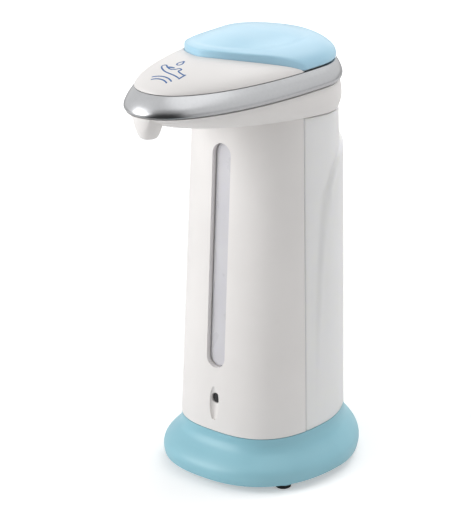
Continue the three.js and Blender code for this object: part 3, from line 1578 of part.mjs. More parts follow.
const portHeight = shaftZ - centreDistance / 2;
const tubeStart = barbStart + gap;
const barbEnd = barbStart + barbLength;
add(carrier, 'suction_tube', hose([
  [tubeStart, pumpMiddleY, portHeight],
  [barbEnd, pumpMiddleY, portHeight],
  [outletX - tubeRadius / 2, pumpMiddleY, portHeight + tubeRadius / 2],
  [outletX, pumpMiddleY, portHeight + 2 * tubeRadius],
  [outletX, pumpMiddleY, tankFloorZ - gap],
], tubeRadius, tubeBore, shortTubeSteps), 'silicone');
add(carrier, 'delivery_tube', hose([
  [-tubeStart, pumpMiddleY, portHeight],
  [-(tubeStart + barbEnd) / 2, pumpMiddleY, portHeight],
  [-barbEnd - tubeRadius / 2, pumpMiddleY, portHeight],
  [tubeX - gap, pumpMiddleY - tubeRadius / 2, portHeight + tubeRadius],
  [tubeX - gap * 2, -tubeForward + gap, portHeight + tubeRadius * 2.3],
  [tubeX, -tubeForward, tankFloorZ - overrun],
  [tubeX, -tubeForward, tankFloorZ + barbLength],
  [tubeX, -tubeForward, undersideZ - barbLength],
  [tubeX, -tubeForward, undersideZ + tubeRadius],
  [tubeX + gap, -tubeForward - tubeBend * 0.3, nozzleBendZ - tubeBend * 0.4],
  [tubeX + gap * 3, -tubeForward - tubeBend, nozzleBendZ - tubeBend * 0.2],
  [tubeX / 2, -tubeForward - tubeBend * 3, nozzleBendZ - gap * 2],
  [tubeX / 5, -spoutForward * 0.6, nozzleBendZ - gap],
  [0, -spoutForward + nozzleRadius + 2 * barbLength, nozzleBendZ],
  [0, -spoutForward + nozzleRadius + barbLength, nozzleBendZ],
  [0, -spoutForward + nozzleRadius + 2 * gap, nozzleBendZ],
], tubeRadius, tubeBore, longTubeSteps), 'silicone');

// The origin sits on the table under the middle of the whole dispenser
const bandReach = Math.max(...bandBulgeShares.map(([height, bulge]) => (
  bandFoot.front + (bandHead.front - bandFoot.front) * height + bulge * bandBulge)));
const rimReach = Math.max(...flareShares.map(([, flare]) => (
  columnFoot.rear + (rim.rear - columnFoot.rear) * flare)));
dispenser.position.y = (bandReach - rimReach) / 2;

export default dispenser;
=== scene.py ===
"""Automatic hand sanitizer dispenser: its looks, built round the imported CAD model.

Each shell that shows is made again here as a fine mesh, in place of its CAD node. Its sizes are those of
the CAD, except that the lid's outline and top, the band's upper edge behind, the flare and the dimple lie up
to 1.3 mm off it, to come nearer to the photograph.
Lengths are in millimetres, and places are measured from the middle of the column's foot, with +Z up and the
spout towards -Y. The whole is then moved along Y into the frame of the CAD model.
"""
import json
import math

import bpy
import numpy as np
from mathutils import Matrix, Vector


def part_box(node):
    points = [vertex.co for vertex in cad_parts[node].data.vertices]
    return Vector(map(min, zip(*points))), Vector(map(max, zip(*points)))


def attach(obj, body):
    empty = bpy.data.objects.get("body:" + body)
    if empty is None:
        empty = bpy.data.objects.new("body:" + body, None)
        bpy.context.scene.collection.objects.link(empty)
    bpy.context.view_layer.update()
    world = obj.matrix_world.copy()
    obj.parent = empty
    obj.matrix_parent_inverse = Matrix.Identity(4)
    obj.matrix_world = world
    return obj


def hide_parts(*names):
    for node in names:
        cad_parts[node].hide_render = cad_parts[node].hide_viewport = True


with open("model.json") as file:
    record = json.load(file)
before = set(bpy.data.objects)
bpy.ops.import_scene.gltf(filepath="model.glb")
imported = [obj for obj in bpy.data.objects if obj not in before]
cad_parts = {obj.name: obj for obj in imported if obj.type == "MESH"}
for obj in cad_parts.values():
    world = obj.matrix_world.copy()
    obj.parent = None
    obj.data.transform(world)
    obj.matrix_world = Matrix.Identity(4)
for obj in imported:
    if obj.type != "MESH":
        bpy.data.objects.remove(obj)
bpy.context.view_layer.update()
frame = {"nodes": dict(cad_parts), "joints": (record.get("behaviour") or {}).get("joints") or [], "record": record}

MM = 0.001
GAP = 0.3
OVERRUN = 2.0

# Numbers of facets
OVAL_STEPS = 180
ROUND_STEPS = 48
FINE_STEPS = 96
TUBE_STEPS = 24
PIN_STEPS = 16
NOSE_STEPS = 120
STROKE_STEPS = 72
LEVELS = 40
DOME_LEVELS = 36
LID_RINGS = 60
LID_UNDER_RINGS = 24

# Halvings when an outline is searched for
LID_HALVINGS = 40
DOME_HALVINGS = 30

# Edges that bend by more than this stay sharp
SHARP_DEGREES = 32

# Beyond every side of the foot, the column and the lid, and lengths of cuts that only have to run through
OUTSIDE = 60.0
BORE_LENGTH = 20.0
SCREW_BORE_LENGTH = 12.0
OUTLET_BORE_LENGTH = 40.0


def oval(z, half_width, front, rear, front_squareness, rear_squareness):
    """The size of a level outline whose front and rear halves may differ in depth and squareness."""
    return np.array([z, half_width, front, rear, front_squareness, rear_squareness], float)


# Column
COLUMN_FOOT = oval(21.2, 31.3, 36.5, 38.2, 2.7, 1.8)
COLUMN_TOP = oval(154, 29.3, 29.9, 27.1, 2.42, 1.95)
SPLIT_Y = -12.9
SHELL_WALL = 2.4
TANK_WALL = 2.0
TANK_FLOOR_Z = 46.0
TANK_FLOOR_THICKNESS = 2.0
EDGE_RADIUS = 0.45

# Level window and dimple of the sensor, both in the front shell
SLOT_BOTTOM_Z = 49.3
SLOT_TOP_Z = 144.8
SLOT_WIDTH = 9.4
SLOT_CHAMFER = 1.8
CHAMFER_START_SHARE = 0.25
CHAMFER_DEPTH_SHARE = 0.65
CHAMFER_CURVE = 1.5
DIMPLE_Z = 33.6
DIMPLE_HALF_HEIGHT = 8.0
DIMPLE_HALF_WIDTH = 2.4
DIMPLE_DEPTH = 1.5
WINDOW_Z = 35.5
WINDOW_WIDTH = 3.4
WINDOW_HEIGHT = 4.0

# Raised back of the tank
HUMP_RISE = 1.8
HUMP_TOP_Z = 148.0
HUMP_FRONT_Y = -9.8
HUMP_SWEEP = 14.5
HUMP_EDGE_WIDTH = 3.0

# Foot
RIM_Z = 3.4
RIM = oval(3.4, 39.1, 45.1, 43.5, 2.4, 1.8)
FLARE_SHARES = [
    (0, 0.98), (0.09, 1.03), (0.21, 1.04), (0.33, 0.95), (0.45, 0.72), (0.56, 0.44), (0.67, 0.19),
    (0.79, 0.045), (1, 0),
]
BASE_WALL = 2.2
ROOM_TOP_SHARE = 0.68
FLOOR_BOTTOM_Z = 4.2
FLOOR_TOP_Z = 6.2
LIP_RISE = 3.5
LIP_WALL = 1.8
FEET = [(28.0, -24.9), (-28.0, -24.9), (26.0, 19.5), (-26.0, 19.5)]
FOOT_RADIUS = 3.4
FOOT_SLEEVE_WALL = 0.9
FOOT_SLEEVE_DROP = 2.0
FOOT_DEPTH = 3.6
TREAD_RADIUS = 0.6
POSTS = [(12.0, -29.5), (-12.0, -29.5), (12.0, 27.5), (-12.0, 27.5)]
POST_RADIUS = 3.4
SCREW_RADIUS = 1.3
SCREW_HEAD_RADIUS = 2.4
SCREW_HEAD_HEIGHT = 1.5

# Head
HEAD_UNDERSIDE = oval(155.6, 29.8, 63.4, 27.7, 1.76, 1.75)
BAND_FOOT = oval(166.7, 29.5, 79.6, 28.6, 2.14, 1.85)
BAND_HEAD = oval(174.9, 27.6, 74.4, 26.6, 2.2, 1.92)
UNDERSIDE_SLOPE = 0.06
HEAD_WALL = 2.0

# From the underside up to the band: how far the head's side swells out, and how far its size has changed
HEAD_SWELL = [(0, 0), (0.3, 0.6), (0.68, 0.5), (1, 0)]
HEAD_SIZE_SHARES = [(0, 0), (0.3, 0.35), (0.68, 0.75), (1, 1)]

HEAD_LIP_SHARE = 0.45
SCREW_SEAT_THICKNESS = 1.0
BAND_WALL = 1.6
BAND_BULGE = 1.6
BULGE_SHARES = [(0, 0), (0.08, 0.6), (0.2, 0.95), (0.4, 1), (0.7, 0.64), (1, 0)]
DOME_MIDDLE_Y = -17.0
DOME_ROUNDNESS = 0.62
COVER_RISE = 10.1
COVER_WALL = 1.8
COVER_SKIRT_SHARE = 0.5
COVER_ROOM_SHARE = 0.95
SPOUT_Y = -74.4
SPOUT_BOTTOM_Z = 157.4
BOSS_RADIUS = 3.8
BOSS_SHARES = [(0.78, 0), (1, 0.1), (1.2, 0.28), (1.38, 0.5), (1.62, 1)]
NOZZLE_RADIUS = 2.4

# Lid, and the well under it
LID_NOSE_ROOT_Y = 10.0
LID_NOSE_HALF_WIDTH = 31.0
LID_NOSE_Y = -44.8
LID_NOSE_SQUARENESS = 1.75
LID_TIP_DROP = 1.1
LID_TIP_LENGTH = 24.0
LID_CENTRE_Y = -4.0
LID_START_ANGLE = 0.03
LID_STEP = 2.2
LID_RISE = 14.4
LID_WALL = 1.8
LID_EDGE_RADIUS = 0.6
DISH_DEPTH = 0.5
DISH_Y = -12.0
DISH_HALF_WIDTH = 20.5
DISH_HALF_LENGTH = 30.0
DISH_STEEPNESS = 4
WELL_DEPTH = 5.0
WELL_MARGIN = 5.4
DECK_THICKNESS = 2.0
NECK_RADIUS = 14.0
NECK_Y = -2.0
HINGE_Y = 25.4
HINGE_Z = 175.4
HINGE_PIN_RADIUS = 0.7
KNUCKLE_RADIUS = 1.7
KNUCKLE_HALF_LENGTH = 2.6
EAR_LENGTH = 2.6
HINGE_RELIEF = 2.6

# Sign printed on the cover: a drop over an open palm with some in it, a cuff, and two arcs in front
INK_HALF_WIDTH = 0.3
INK_HEIGHT = 0.04
INK_DEPTH = 0.1
PALM = [
    (6.4, -61.0), (4.4, -60.6), (2.7, -59.7), (3.0, -58.3), (1.7, -57.8), (0.5, -59.0), (-1.4, -59.6),
    (-3.8, -58.5), (-5.8, -56.9), (-7.2, -57.0), (-7.0, -58.3), (-5.0, -60.2), (-2.2, -61.9), (1.0, -62.7),
    (3.8, -63.1), (6.0, -63.6),
]
DROP = [
    (-1.2, -51.6), (-0.4, -53.2), (-0.1, -54.3), (-0.4, -55.2), (-1.2, -55.6), (-2.0, -55.2), (-2.3, -54.3),
    (-2.0, -53.2), (-1.2, -51.6),
]
CUFF = [(6.9, -60.4), (6.7, -62.3), (6.5, -64.2)]
POOL_MIDDLE = (-2.3, -58.2)
POOL_HALF_SIZE = (1.9, 0.5)
ARC_MIDDLE = (0.3, -75.0)
ARC_RADII = (9.6, 7.7)
ARC_HALF_ANGLE = 31

# Where the column's middle lies in the CAD model's frame, found from the foot's box
flare_reach = max(share for _, share in FLARE_SHARES)
foot_front = COLUMN_FOOT[2] + (RIM[2] - COLUMN_FOOT[2]) * flare_reach
foot_rear = COLUMN_FOOT[3] + (RIM[3] - COLUMN_FOOT[3]) * flare_reach
foot_low, foot_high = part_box("base_housing")
SHIFT_Y = (foot_low.y + foot_high.y) / 2 / MM - (foot_rear - foot_front) / 2


def smooth_curve(table, shares):
    """Values at some shares of a curve through (share, value) pairs, rounded between them."""
    at, value = np.array(table, float).T
    slope = np.gradient(value, at)
    shares = np.asarray(shares, float)
    i = np.clip(np.searchsorted(at, shares) - 1, 0, len(at) - 2)
    width = at[i + 1] - at[i]
    t = (shares - at[i]) / width
    start = (1 + 2 * t) * (1 - t) ** 2 * value[i] + t * (1 - t) ** 2 * width * slope[i]
    end = t * t * (3 - 2 * t) * value[i + 1] + t * t * (t - 1) * width * slope[i + 1]
    return start + end


def eased(share):
    share = np.clip(share, 0, 1)
    return share * share * (3 - 2 * share)


def rounding(distance, radius):
    """How much a rounded edge falls away at a distance inside it."""
    inside = np.clip(radius - distance, 0, radius)
    return radius - np.sqrt(np.maximum(radius ** 2 - inside ** 2, 0))


def full_turn(steps=OVAL_STEPS):
    return 2 * np.pi * np.arange(steps) / steps


def off_axis_turn(steps):
    """Angles round a full turn, none of them on an axis."""
    return 2 * np.pi * (np.arange(steps) + 0.5) / steps


def oval_at(size, inset, angles):
    """Points of an oval, drawn in by an inset, at some angles round it."""
    _, half_width, front, rear, front_squareness, rear_squareness = size
    cos, sin = np.cos(angles), np.sin(angles)
    in_front = sin < 0
    power = 2 / np.where(in_front, front_squareness, rear_squareness)
    depth = np.where(in_front, front, rear) - inset
    x = (half_width - inset) * np.sign(cos) * np.abs(cos) ** power
    y = depth * np.sign(sin) * np.abs(sin) ** power
    return x, y


def at_height(outline, z):
    """Points of a plan outline at a height, or at one that depends on x and y."""
    heights = z(outline[:, 0], outline[:, 1]) if callable(z) else np.full(len(outline), z)
    return np.column_stack([outline, heights])


def ring(size, inset=0.0, z=None):
    """A ring of points along an oval, at its own height unless another is given."""
    outline = np.column_stack(oval_at(size, inset, full_turn()))
    return at_height(outline, size[0] if z is None else z)


def oval_measure(size, inset, x, y):
    """Less than 1 inside an oval that is drawn in by an inset, and more than 1 outside it."""
    _, half_width, front, rear, front_squareness, rear_squareness = size
    in_front = y < 0
    power = np.where(in_front, front_squareness, rear_squareness)
    depth = np.where(in_front, front, rear) - inset
    return np.abs(x / (half_width - inset)) ** power + np.abs(y / depth) ** power


def column_at(z):
    return COLUMN_FOOT + (COLUMN_TOP - COLUMN_FOOT) * (z - COLUMN_FOOT[0]) / (COLUMN_TOP[0] - COLUMN_FOOT[0])


def underside_at(x, y):
    return HEAD_UNDERSIDE[0] - UNDERSIDE_SLOPE * y


def make_object(name, points, faces):
    """An object from points in millimetres round the column's middle."""
    mesh = bpy.data.meshes.new(name)
    points = (np.asarray(points, float) + (0, SHIFT_Y, 0)) * MM
    mesh.from_pydata(points.tolist(), [], faces)
    mesh.validate()
    made = bpy.data.objects.new(name, mesh)
    bpy.context.scene.collection.objects.link(made)
    return made


def loft(name, rings):
    """A solid through rings of equal count, with both ends capped."""
    count = len(rings[0])
    faces = []
    for level in range(len(rings) - 1):
        low = level * count
        high = (level + 1) * count
        for i in range(count):
            following = (i + 1) % count
            faces.append((low + i, low + following, high + following, high + i))
    faces.append(tuple(range(count))[::-1])
    faces.append(tuple(range((len(rings) - 1) * count, len(rings) * count)))
    return make_object(name, np.concatenate(rings), faces)


def turned(name, profile, place=(0, 0, 0), axis="Z", steps=ROUND_STEPS):
    """A turned solid from (radius, height) pairs, upright or laid along X from its place."""
    angles = full_turn(steps)
    rings = []
    for radius, height in profile:
        level = np.column_stack([radius * np.cos(angles), radius * np.sin(angles), np.full(steps, height)])
        if axis == "X":
            level = level[:, [2, 0, 1]]
        rings.append(level + place)
    return loft(name, rings)


def rod(radius, length, place, axis="Z", steps=ROUND_STEPS):
    return turned("rod", [(radius, 0), (radius, length)], place, axis, steps)


def rounded_rod(name, radius, length, place, axis="Z", edge=GAP):
    """A rod with a small round on both of its ends."""
    arc = np.linspace(0, np.pi / 2, 4)
    start = [(radius - edge + edge * math.sin(a), edge - edge * math.cos(a)) for a in arc]
    end = [(radius - edge + edge * math.cos(a), length - edge + edge * math.sin(a)) for a in arc]
    return turned(name, start + end, place, axis)


def block(low, high):
    (x0, y0, z0), (x1, y1, z1) = low, high
    points = [(x, y, z) for z in (z0, z1) for x, y in ((x0, y0), (x1, y0), (x1, y1), (x0, y1))]
    faces = [(3, 2, 1, 0), (4, 5, 6, 7), (0, 1, 5, 4), (1, 2, 6, 5), (2, 3, 7, 6), (3, 0, 4, 7)]
    return make_object("block", points, faces)


def prism(outline, low_z, high_z):
    return loft("prism", [at_height(np.asarray(outline, float), z) for z in (low_z, high_z)])


def combine(piece, operation, *others):
    """Joins solids to a piece, cuts them out of it or keeps only what they cover, and deletes them."""
    for other in others:
        modifier = piece.modifiers.new(operation, "BOOLEAN")
        modifier.object = other
        modifier.operation = operation
        modifier.solver = "EXACT"
    graph = bpy.context.evaluated_depsgraph_get()
    mesh = bpy.data.meshes.new_from_object(piece.evaluated_get(graph))
    piece.modifiers.clear()
    piece.data = mesh
    for other in others:
        bpy.data.objects.remove(other)
    return piece


def join(piece, *others):
    return combine(piece, "UNION", *others)


def cut(piece, *others):
    return combine(piece, "DIFFERENCE", *others)


def keep(piece, *others):
    return combine(piece, "INTERSECT", *others)


def finish_piece(piece, name, material, body="root", nodes=()):
    """Names a piece, smooths its faces, gives it its material, hangs it from its body and hides the CAD nodes it
    stands in for.
    """
    piece.name = name
    piece.data.name = name
    piece.data.shade_smooth()
    piece.data.set_sharp_from_angle(angle=math.radians(SHARP_DEGREES))
    piece.data.materials.clear()
    piece.data.materials.append(material)
    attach(piece, body)
    if nodes:
        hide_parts(*nodes)
    return piece


def linear(hex_colour):
    """An sRGB hex value as the linear colour that a socket takes."""
    channels = [int(hex_colour[i:i + 2], 16) / 255 for i in (0, 2, 4)]
    curved = [c / 12.92 if c <= 0.04045 else ((c + 0.055) / 1.055) ** 2.4 for c in channels]
    return (*curved, 1.0)


def add_node(tree, kind, settings=None, links=None):
    """Adds a node, sets its sockets and properties by name, and links sources to its sockets."""
    made = tree.nodes.new("ShaderNode" + kind)
    for name, value in (settings or {}).items():
        if isinstance(name, int) or name in made.inputs:
            made.inputs[name].default_value = value
        else:
            setattr(made, name, value)
    for name, source in (links or {}).items():
        tree.links.new(source, made.inputs[name])
    return made


def empty_material(name):
    material = bpy.data.materials.new(name)
    material.use_nodes = True
    material.node_tree.nodes.clear()
    return material, material.node_tree


def new_material(name, shader_settings):
    """A material with one Principled shader, whose sockets are set by name."""
    material, tree = empty_material(name)
    shader = add_node(tree, "BsdfPrincipled", shader_settings)
    add_node(tree, "OutputMaterial", links={"Surface": shader.outputs["BSDF"]})
    place = add_node(tree, "TexCoord").outputs["Object"]
    return material, tree, shader, place


def patch_size(millimetres):
    """The scale of a noise whose patches are about this wide."""
    return 1 / (millimetres * MM)


def mottle(tree, shader, place, dark, light, patch_mm):
    """Colour that drifts between two tones over patches of this size."""
    noise = add_node(tree, "TexNoise", {"Scale": patch_size(patch_mm), "Detail": 3.0}, {"Vector": place})
    blend = add_node(
        tree, "MapRange", {"From Min": 0.35, "From Max": 0.65}, {"Value": noise.outputs["Fac"]})
    mix = add_node(
        tree, "MixRGB", {"Color1": linear(dark), "Color2": linear(light)}, {"Fac": blend.outputs["Result"]})
    tree.links.new(mix.outputs["Color"], shader.inputs["Base Color"])


def vary_roughness(tree, shader, place, low, high, patch_mm):
    """Gloss that drifts between two roughnesses, as handling and the mould leave it."""
    noise = add_node(tree, "TexNoise", {"Scale": patch_size(patch_mm), "Detail": 4.0}, {"Vector": place})
    spread = add_node(
        tree, "MapRange", {"From Min": 0.3, "From Max": 0.7, "To Min": low, "To Max": high},
        {"Value": noise.outputs["Fac"]})
    tree.links.new(spread.outputs["Result"], shader.inputs["Roughness"])


def grain(tree, shader, place, grain_mm, height_mm, wave_mm=30.0, wave_height_mm=0.02):
    """A moulded skin: fine spark grain of the mould over the slow waves that cooling leaves."""
    fine = add_node(tree, "TexNoise", {"Scale": patch_size(grain_mm), "Detail": 2.0}, {"Vector": place})
    slow = add_node(tree, "TexNoise", {"Scale": patch_size(wave_mm), "Detail": 1.0}, {"Vector": place})
    waves = add_node(
        tree, "Bump", {"Strength": 1.0, "Distance": wave_height_mm * MM}, {"Height": slow.outputs["Fac"]})
    bump = add_node(
        tree, "Bump", {"Strength": 1.0, "Distance": height_mm * MM},
        {"Height": fine.outputs["Fac"], "Normal": waves.outputs["Normal"]})
    tree.links.new(bump.outputs["Normal"], shader.inputs["Normal"])


def make_material(name, shader_settings, tones, tone_mm, roughness, gloss_mm, skin=None):
    """A material whose colour and gloss drift over patches, and whose skin has a grain and waves."""
    material, tree, shader, place = new_material(name, shader_settings)
    mottle(tree, shader, place, *tones, tone_mm)
    vary_roughness(tree, shader, place, *roughness, gloss_mm)
    if skin:
        grain(tree, shader, place, *skin)
    return material


def moulded_abs(name, tones, roughness):
    """Injection-moulded ABS from a lightly textured mould: opaque, with a soft wide highlight."""
    settings = {
        "IOR": 1.54,
        "Subsurface Weight": 0.08,
        "Subsurface Radius": (1.0, 1.0, 1.0),
        "Subsurface Scale": 1.2 * MM,
    }
    return make_material(name, settings, tones, 35, roughness, 14, (0.7, 0.006))


def polypropylene(name, tones, roughness, skin):
    """Natural polypropylene: light soaks in and comes out again, so it glows softly."""
    settings = {
        "IOR": 1.49,
        "Subsurface Weight": 1.0,
        "Subsurface Radius": (1.0, 1.0, 1.1),
        "Subsurface Scale": 2 * MM,
    }
    return make_material(name, settings, tones, 28, roughness, 12, skin)


def solder_mask():
    """Green solder mask over copper tracks on glass-epoxy board: glossy, with the tracks as paler lines."""
    material, tree, shader, place = new_material("green_solder_mask", {"IOR": 1.5, "Roughness": 0.3})
    tracks = add_node(
        tree, "TexBrick",
        {"Color1": linear("1E5B36"), "Color2": linear("24663D"), "Mortar": linear("3B8656"),
         "Scale": 1.0, "Mortar Size": 0.25 * MM, "Brick Width": 3.2 * MM, "Row Height": 1.27 * MM},
        {"Vector": place})
    tree.links.new(tracks.outputs["Color"], shader.inputs["Base Color"])
    grain(tree, shader, place, 0.5, 0.01)
    return material


WHITE_ABS = moulded_abs("white_moulded_abs", ("F0EDEB", "F4F1EF"), (0.4, 0.48))
AQUA_ABS = moulded_abs("aqua_moulded_abs", ("94CAD9", "9ACFDD"), (0.36, 0.42))
SKY_ABS = moulded_abs("sky_blue_moulded_abs", ("B2DFF6", "B8E4F9"), (0.28, 0.35))
GREY_ABS = moulded_abs("grey_moulded_abs", ("84888C", "8E9296"), (0.45, 0.55))
BLACK_ABS = moulded_abs("black_moulded_abs", ("1E2023", "26282C"), (0.4, 0.5))

# Blow-moulded wall of the tank: a cool white
TANK_PLASTIC = polypropylene(
    "milky_polypropylene", ("F5F5FA", "F9F9FD"), (0.3, 0.42), (1.1, 0.008, 22, 0.05))

# Thicker strip in the slot: greyer, with a faint lilac cast, and smooth from a polished mould
WINDOW_PLASTIC = polypropylene(
    "thick_polypropylene", ("D9D8DF", "DEDDE4"), (0.25, 0.34), (1.1, 0.004, 22, 0.03))

# Fine aluminium flake under a satin lacquer: mirrors the room as a soft grey sweep
SILVER_PAINT = make_material(
    "satin_silver_paint", {"Metallic": 1.0, "Coat Weight": 0.15, "Coat Roughness": 0.2},
    ("BEBFC1", "C1C2C4"), 1.2, (0.29, 0.32), 9, (0.5, 0.004, 18, 0.01))

# Moulded nitrile rubber: matt, a little dusty, with a fine pebbled skin
RUBBER = make_material(
    "moulded_nitrile_rubber", {"IOR": 1.52}, ("19191B", "232326"), 3, (0.7, 0.85), 4, (0.6, 0.03))

# Cast silicone rubber: soft, hazy and slightly greasy to the eye
SILICONE = make_material(
    "cast_silicone",
    {"IOR": 1.41, "Transmission Weight": 0.35, "Subsurface Weight": 0.6, "Subsurface Scale": 2 * MM},
    ("D8DADB", "E2E3E4"), 8, (0.38, 0.5), 6, (0.8, 0.008))

# Smoked polycarbonate lens: passes infra-red, looks black and polished
SMOKED_LENS = make_material(
    "smoked_polycarbonate", {"IOR": 1.585}, ("0C0C10", "15151B"), 4, (0.07, 0.12), 3)

# Cast clear epoxy of a light-emitting diode: water-clear with a bluish cast
CLEAR_EPOXY = make_material(
    "clear_epoxy", {"IOR": 1.55, "Transmission Weight": 0.8}, ("CBD6E6", "D6DFEC"), 2, (0.05, 0.1), 2)

SOLDER_MASK = solder_mask()

# Bright nickel on steel: a warm grey mirror, drawn or rolled, so its shine is slightly uneven
NICKEL = make_material(
    "nickel_plated_steel", {"Metallic": 1.0}, ("B2B0AB", "C2C0BB"), 3, (0.18, 0.3), 2, (0.4, 0.004))

# Machined and moulded acetal: waxy off-white with a faint inner glow
ACETAL = make_material(
    "natural_acetal", {"IOR": 1.48, "Subsurface Weight": 0.5, "Subsurface Scale": 1.5 * MM},
    ("EBE9DF", "F2F1E9"), 5, (0.32, 0.42), 4, (0.6, 0.005))

# PVC shrink sleeve of a battery: smooth, glossy slate
CELL_SLEEVE = make_material(
    "pvc_shrink_sleeve", {"IOR": 1.53}, ("333C47", "3D4652"), 9, (0.2, 0.3), 6, (1.5, 0.01))

# Pad-printed ink: a thin matt film of one blue
BLUE_INK = make_material("pad_printed_ink", {"IOR": 1.5}, ("1E5C9C", "2666A4"), 2, (0.45, 0.55), 3)

# The inner CAD nodes keep their shapes and get these finishes
FINISH_OF_SLOT = {
    "white_abs": WHITE_ABS, "blue_abs": AQUA_ABS, "lid_blue_abs": SKY_ABS, "clear_tank": TANK_PLASTIC,
    "satin_silver": SILVER_PAINT, "black_rubber": RUBBER, "silicone": SILICONE, "dark_lens": SMOKED_LENS,
    "led_clear": CLEAR_EPOXY, "board_green": SOLDER_MASK, "steel": NICKEL, "grey_abs": GREY_ABS,
    "black_abs": BLACK_ABS, "acetal": ACETAL, "cell_jacket": CELL_SLEEVE,
}
for subpart in frame["record"]["subparts"]:
    node = frame["nodes"][subpart["node"]]
    for material_slot in node.material_slots:
        material_slot.material = FINISH_OF_SLOT[subpart["material_slot"]]


def ease_ends(rings, low_edge, high_edge):
    """Adds a copy of the first and the last ring, drawn in towards its own middle, to soften both edges."""
    first, last = rings[0].copy(), rings[-1].copy()
    for target, edge in ((first, low_edge), (last, high_edge)):
        middle = target[:, :2].mean(axis=0)
        away = target[:, :2] - middle
        reach = np.linalg.norm(away, axis=1, keepdims=True)
        target[:, :2] = middle + away * (1 - edge / reach)
    return [first, *rings, last]


# Foot: the flared skirt with its floor, lip, posts and sleeves
def skirt_ring(height_share, flare_share, inset):
    z = RIM_Z + (COLUMN_FOOT[0] - RIM_Z) * height_share
    return ring(COLUMN_FOOT + (RIM - COLUMN_FOOT) * flare_share, inset, z)


def make_base_housing():
    heights = np.linspace(0, 1, LEVELS)
    flares = smooth_curve(FLARE_SHARES, heights)
    skirt_rings = [skirt_ring(height, flare, 0) for height, flare in zip(heights, flares)]
    housing = loft("base_housing", ease_ends(skirt_rings, GAP, GAP))
    lip_outer = SHELL_WALL + GAP
    lip_inner = lip_outer + LIP_WALL
    lip = loft("lip", [
        ring(COLUMN_FOOT, lip_outer, COLUMN_FOOT[0] - OVERRUN),
        ring(COLUMN_FOOT, lip_outer, COLUMN_FOOT[0] + LIP_RISE - GAP),
        ring(COLUMN_FOOT, lip_outer + GAP, COLUMN_FOOT[0] + LIP_RISE),
    ])
    join(housing, lip)
    room_shares = [share for share in heights if share < ROOM_TOP_SHARE]
    room = loft("room", [
        *[skirt_ring(share, smooth_curve(FLARE_SHARES, share), BASE_WALL) for share in room_shares],
        ring(COLUMN_FOOT, lip_inner, COLUMN_FOOT[0] - FOOT_DEPTH),
        ring(COLUMN_FOOT, lip_inner, COLUMN_FOOT[0] + LIP_RISE + OVERRUN),
    ])
    cut(room, block((-OUTSIDE, -OUTSIDE, -OVERRUN), (OUTSIDE, OUTSIDE, FLOOR_TOP_Z)))
    recess = loft("recess", [
        ring(RIM, BASE_WALL - GAP, RIM_Z - OVERRUN),
        ring(RIM, BASE_WALL - GAP, RIM_Z - GAP),
        ring(RIM, BASE_WALL, RIM_Z + GAP),
        ring(RIM, BASE_WALL, FLOOR_BOTTOM_Z),
    ])
    cut(housing, room, recess)
    for x, y in FEET:
        sleeve_z = FLOOR_BOTTOM_Z - FOOT_SLEEVE_DROP
        outer = FOOT_RADIUS + GAP + FOOT_SLEEVE_WALL
        join(housing, rounded_rod("sleeve", outer, FLOOR_TOP_Z - sleeve_z, (x, y, sleeve_z)))
        cut(housing, rod(FOOT_RADIUS + GAP, FOOT_DEPTH, (x, y, sleeve_z - OVERRUN)))
    well_top_z = COLUMN_FOOT[0] - 2 * LIP_WALL
    for x, y in POSTS:
        join(housing, rod(POST_RADIUS, COLUMN_FOOT[0] - FLOOR_TOP_Z + GAP, (x, y, FLOOR_TOP_Z - GAP)))
        well = turned("well", [
            (SCREW_HEAD_RADIUS + 3 * GAP, FLOOR_BOTTOM_Z - GAP),
            (SCREW_HEAD_RADIUS + GAP, FLOOR_BOTTOM_Z + GAP),
            (SCREW_HEAD_RADIUS + GAP, well_top_z),
            (SCREW_RADIUS + GAP, well_top_z),
            (SCREW_RADIUS + GAP, COLUMN_FOOT[0] + OVERRUN),
        ], (x, y, 0))
        cut(housing, well)
    return cut(housing, *floor_cutters())


# The battery door and the switch knob lie where their CAD nodes lie
def box_of(node):
    """Lowest and highest corner of a CAD node, in millimetres round the column's middle."""
    return [np.array(corner) / MM - (0, SHIFT_Y, 0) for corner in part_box(node)]


def foot_of(node):
    """Middle of a CAD node's lower face."""
    low, high = box_of(node)
    return (low[0] + high[0]) / 2, (low[1] + high[1]) / 2, low[2]


def floor_cutters():
    door_low, door_high = box_of("battery_door")
    knob_low, knob_high = box_of("switch_knob")
    travel = frame_joint("power_switch_slide")["range_m"][1] / MM
    slider_side = (knob_high[0] - knob_low[0] - 2 * KNOB_HALF_LENGTH) / 2
    slot_low = knob_low[0] + slider_side - GAP
    knob_y = (knob_low[1] + knob_high[1]) / 2
    slot_high = slot_low + travel + 2 * (KNOB_HALF_LENGTH + GAP)
    knob_slot = block(
        (slot_low, knob_y - KNOB_HALF_DEPTH - GAP, FLOOR_BOTTOM_Z - OVERRUN),
        (slot_high, knob_y + KNOB_HALF_DEPTH + GAP, FLOOR_TOP_Z + OVERRUN),
    )
    half_length = DOOR_HALF_LENGTH
    doorway = block(
        (-half_length, door_low[1] - GAP, FLOOR_BOTTOM_Z - OVERRUN),
        (half_length, door_high[1] + GAP, FLOOR_TOP_Z + OVERRUN),
    )
    hinge_y = frame_joint("battery_door_hinge")["pos_m"][1] / MM - SHIFT_Y
    hinge_z = frame_joint("battery_door_hinge")["pos_m"][2] / MM
    reach = half_length + DOOR_PIN_LENGTH + GAP
    sockets = rod(DOOR_PIN_RADIUS + GAP, 2 * reach, (-reach, hinge_y, hinge_z), "X", PIN_STEPS)
    return knob_slot, doorway, sockets


def frame_joint(name):
    return next(joint for joint in frame["joints"] if joint["name"] == name)


KNOB_HALF_LENGTH = 1.7
KNOB_HALF_DEPTH = 1.2
DOOR_HALF_LENGTH = 22.55
DOOR_PIN_RADIUS = 0.5
DOOR_PIN_LENGTH = 1.4

finish_piece(make_base_housing(), "base_shell", AQUA_ABS, nodes=["base_housing"])

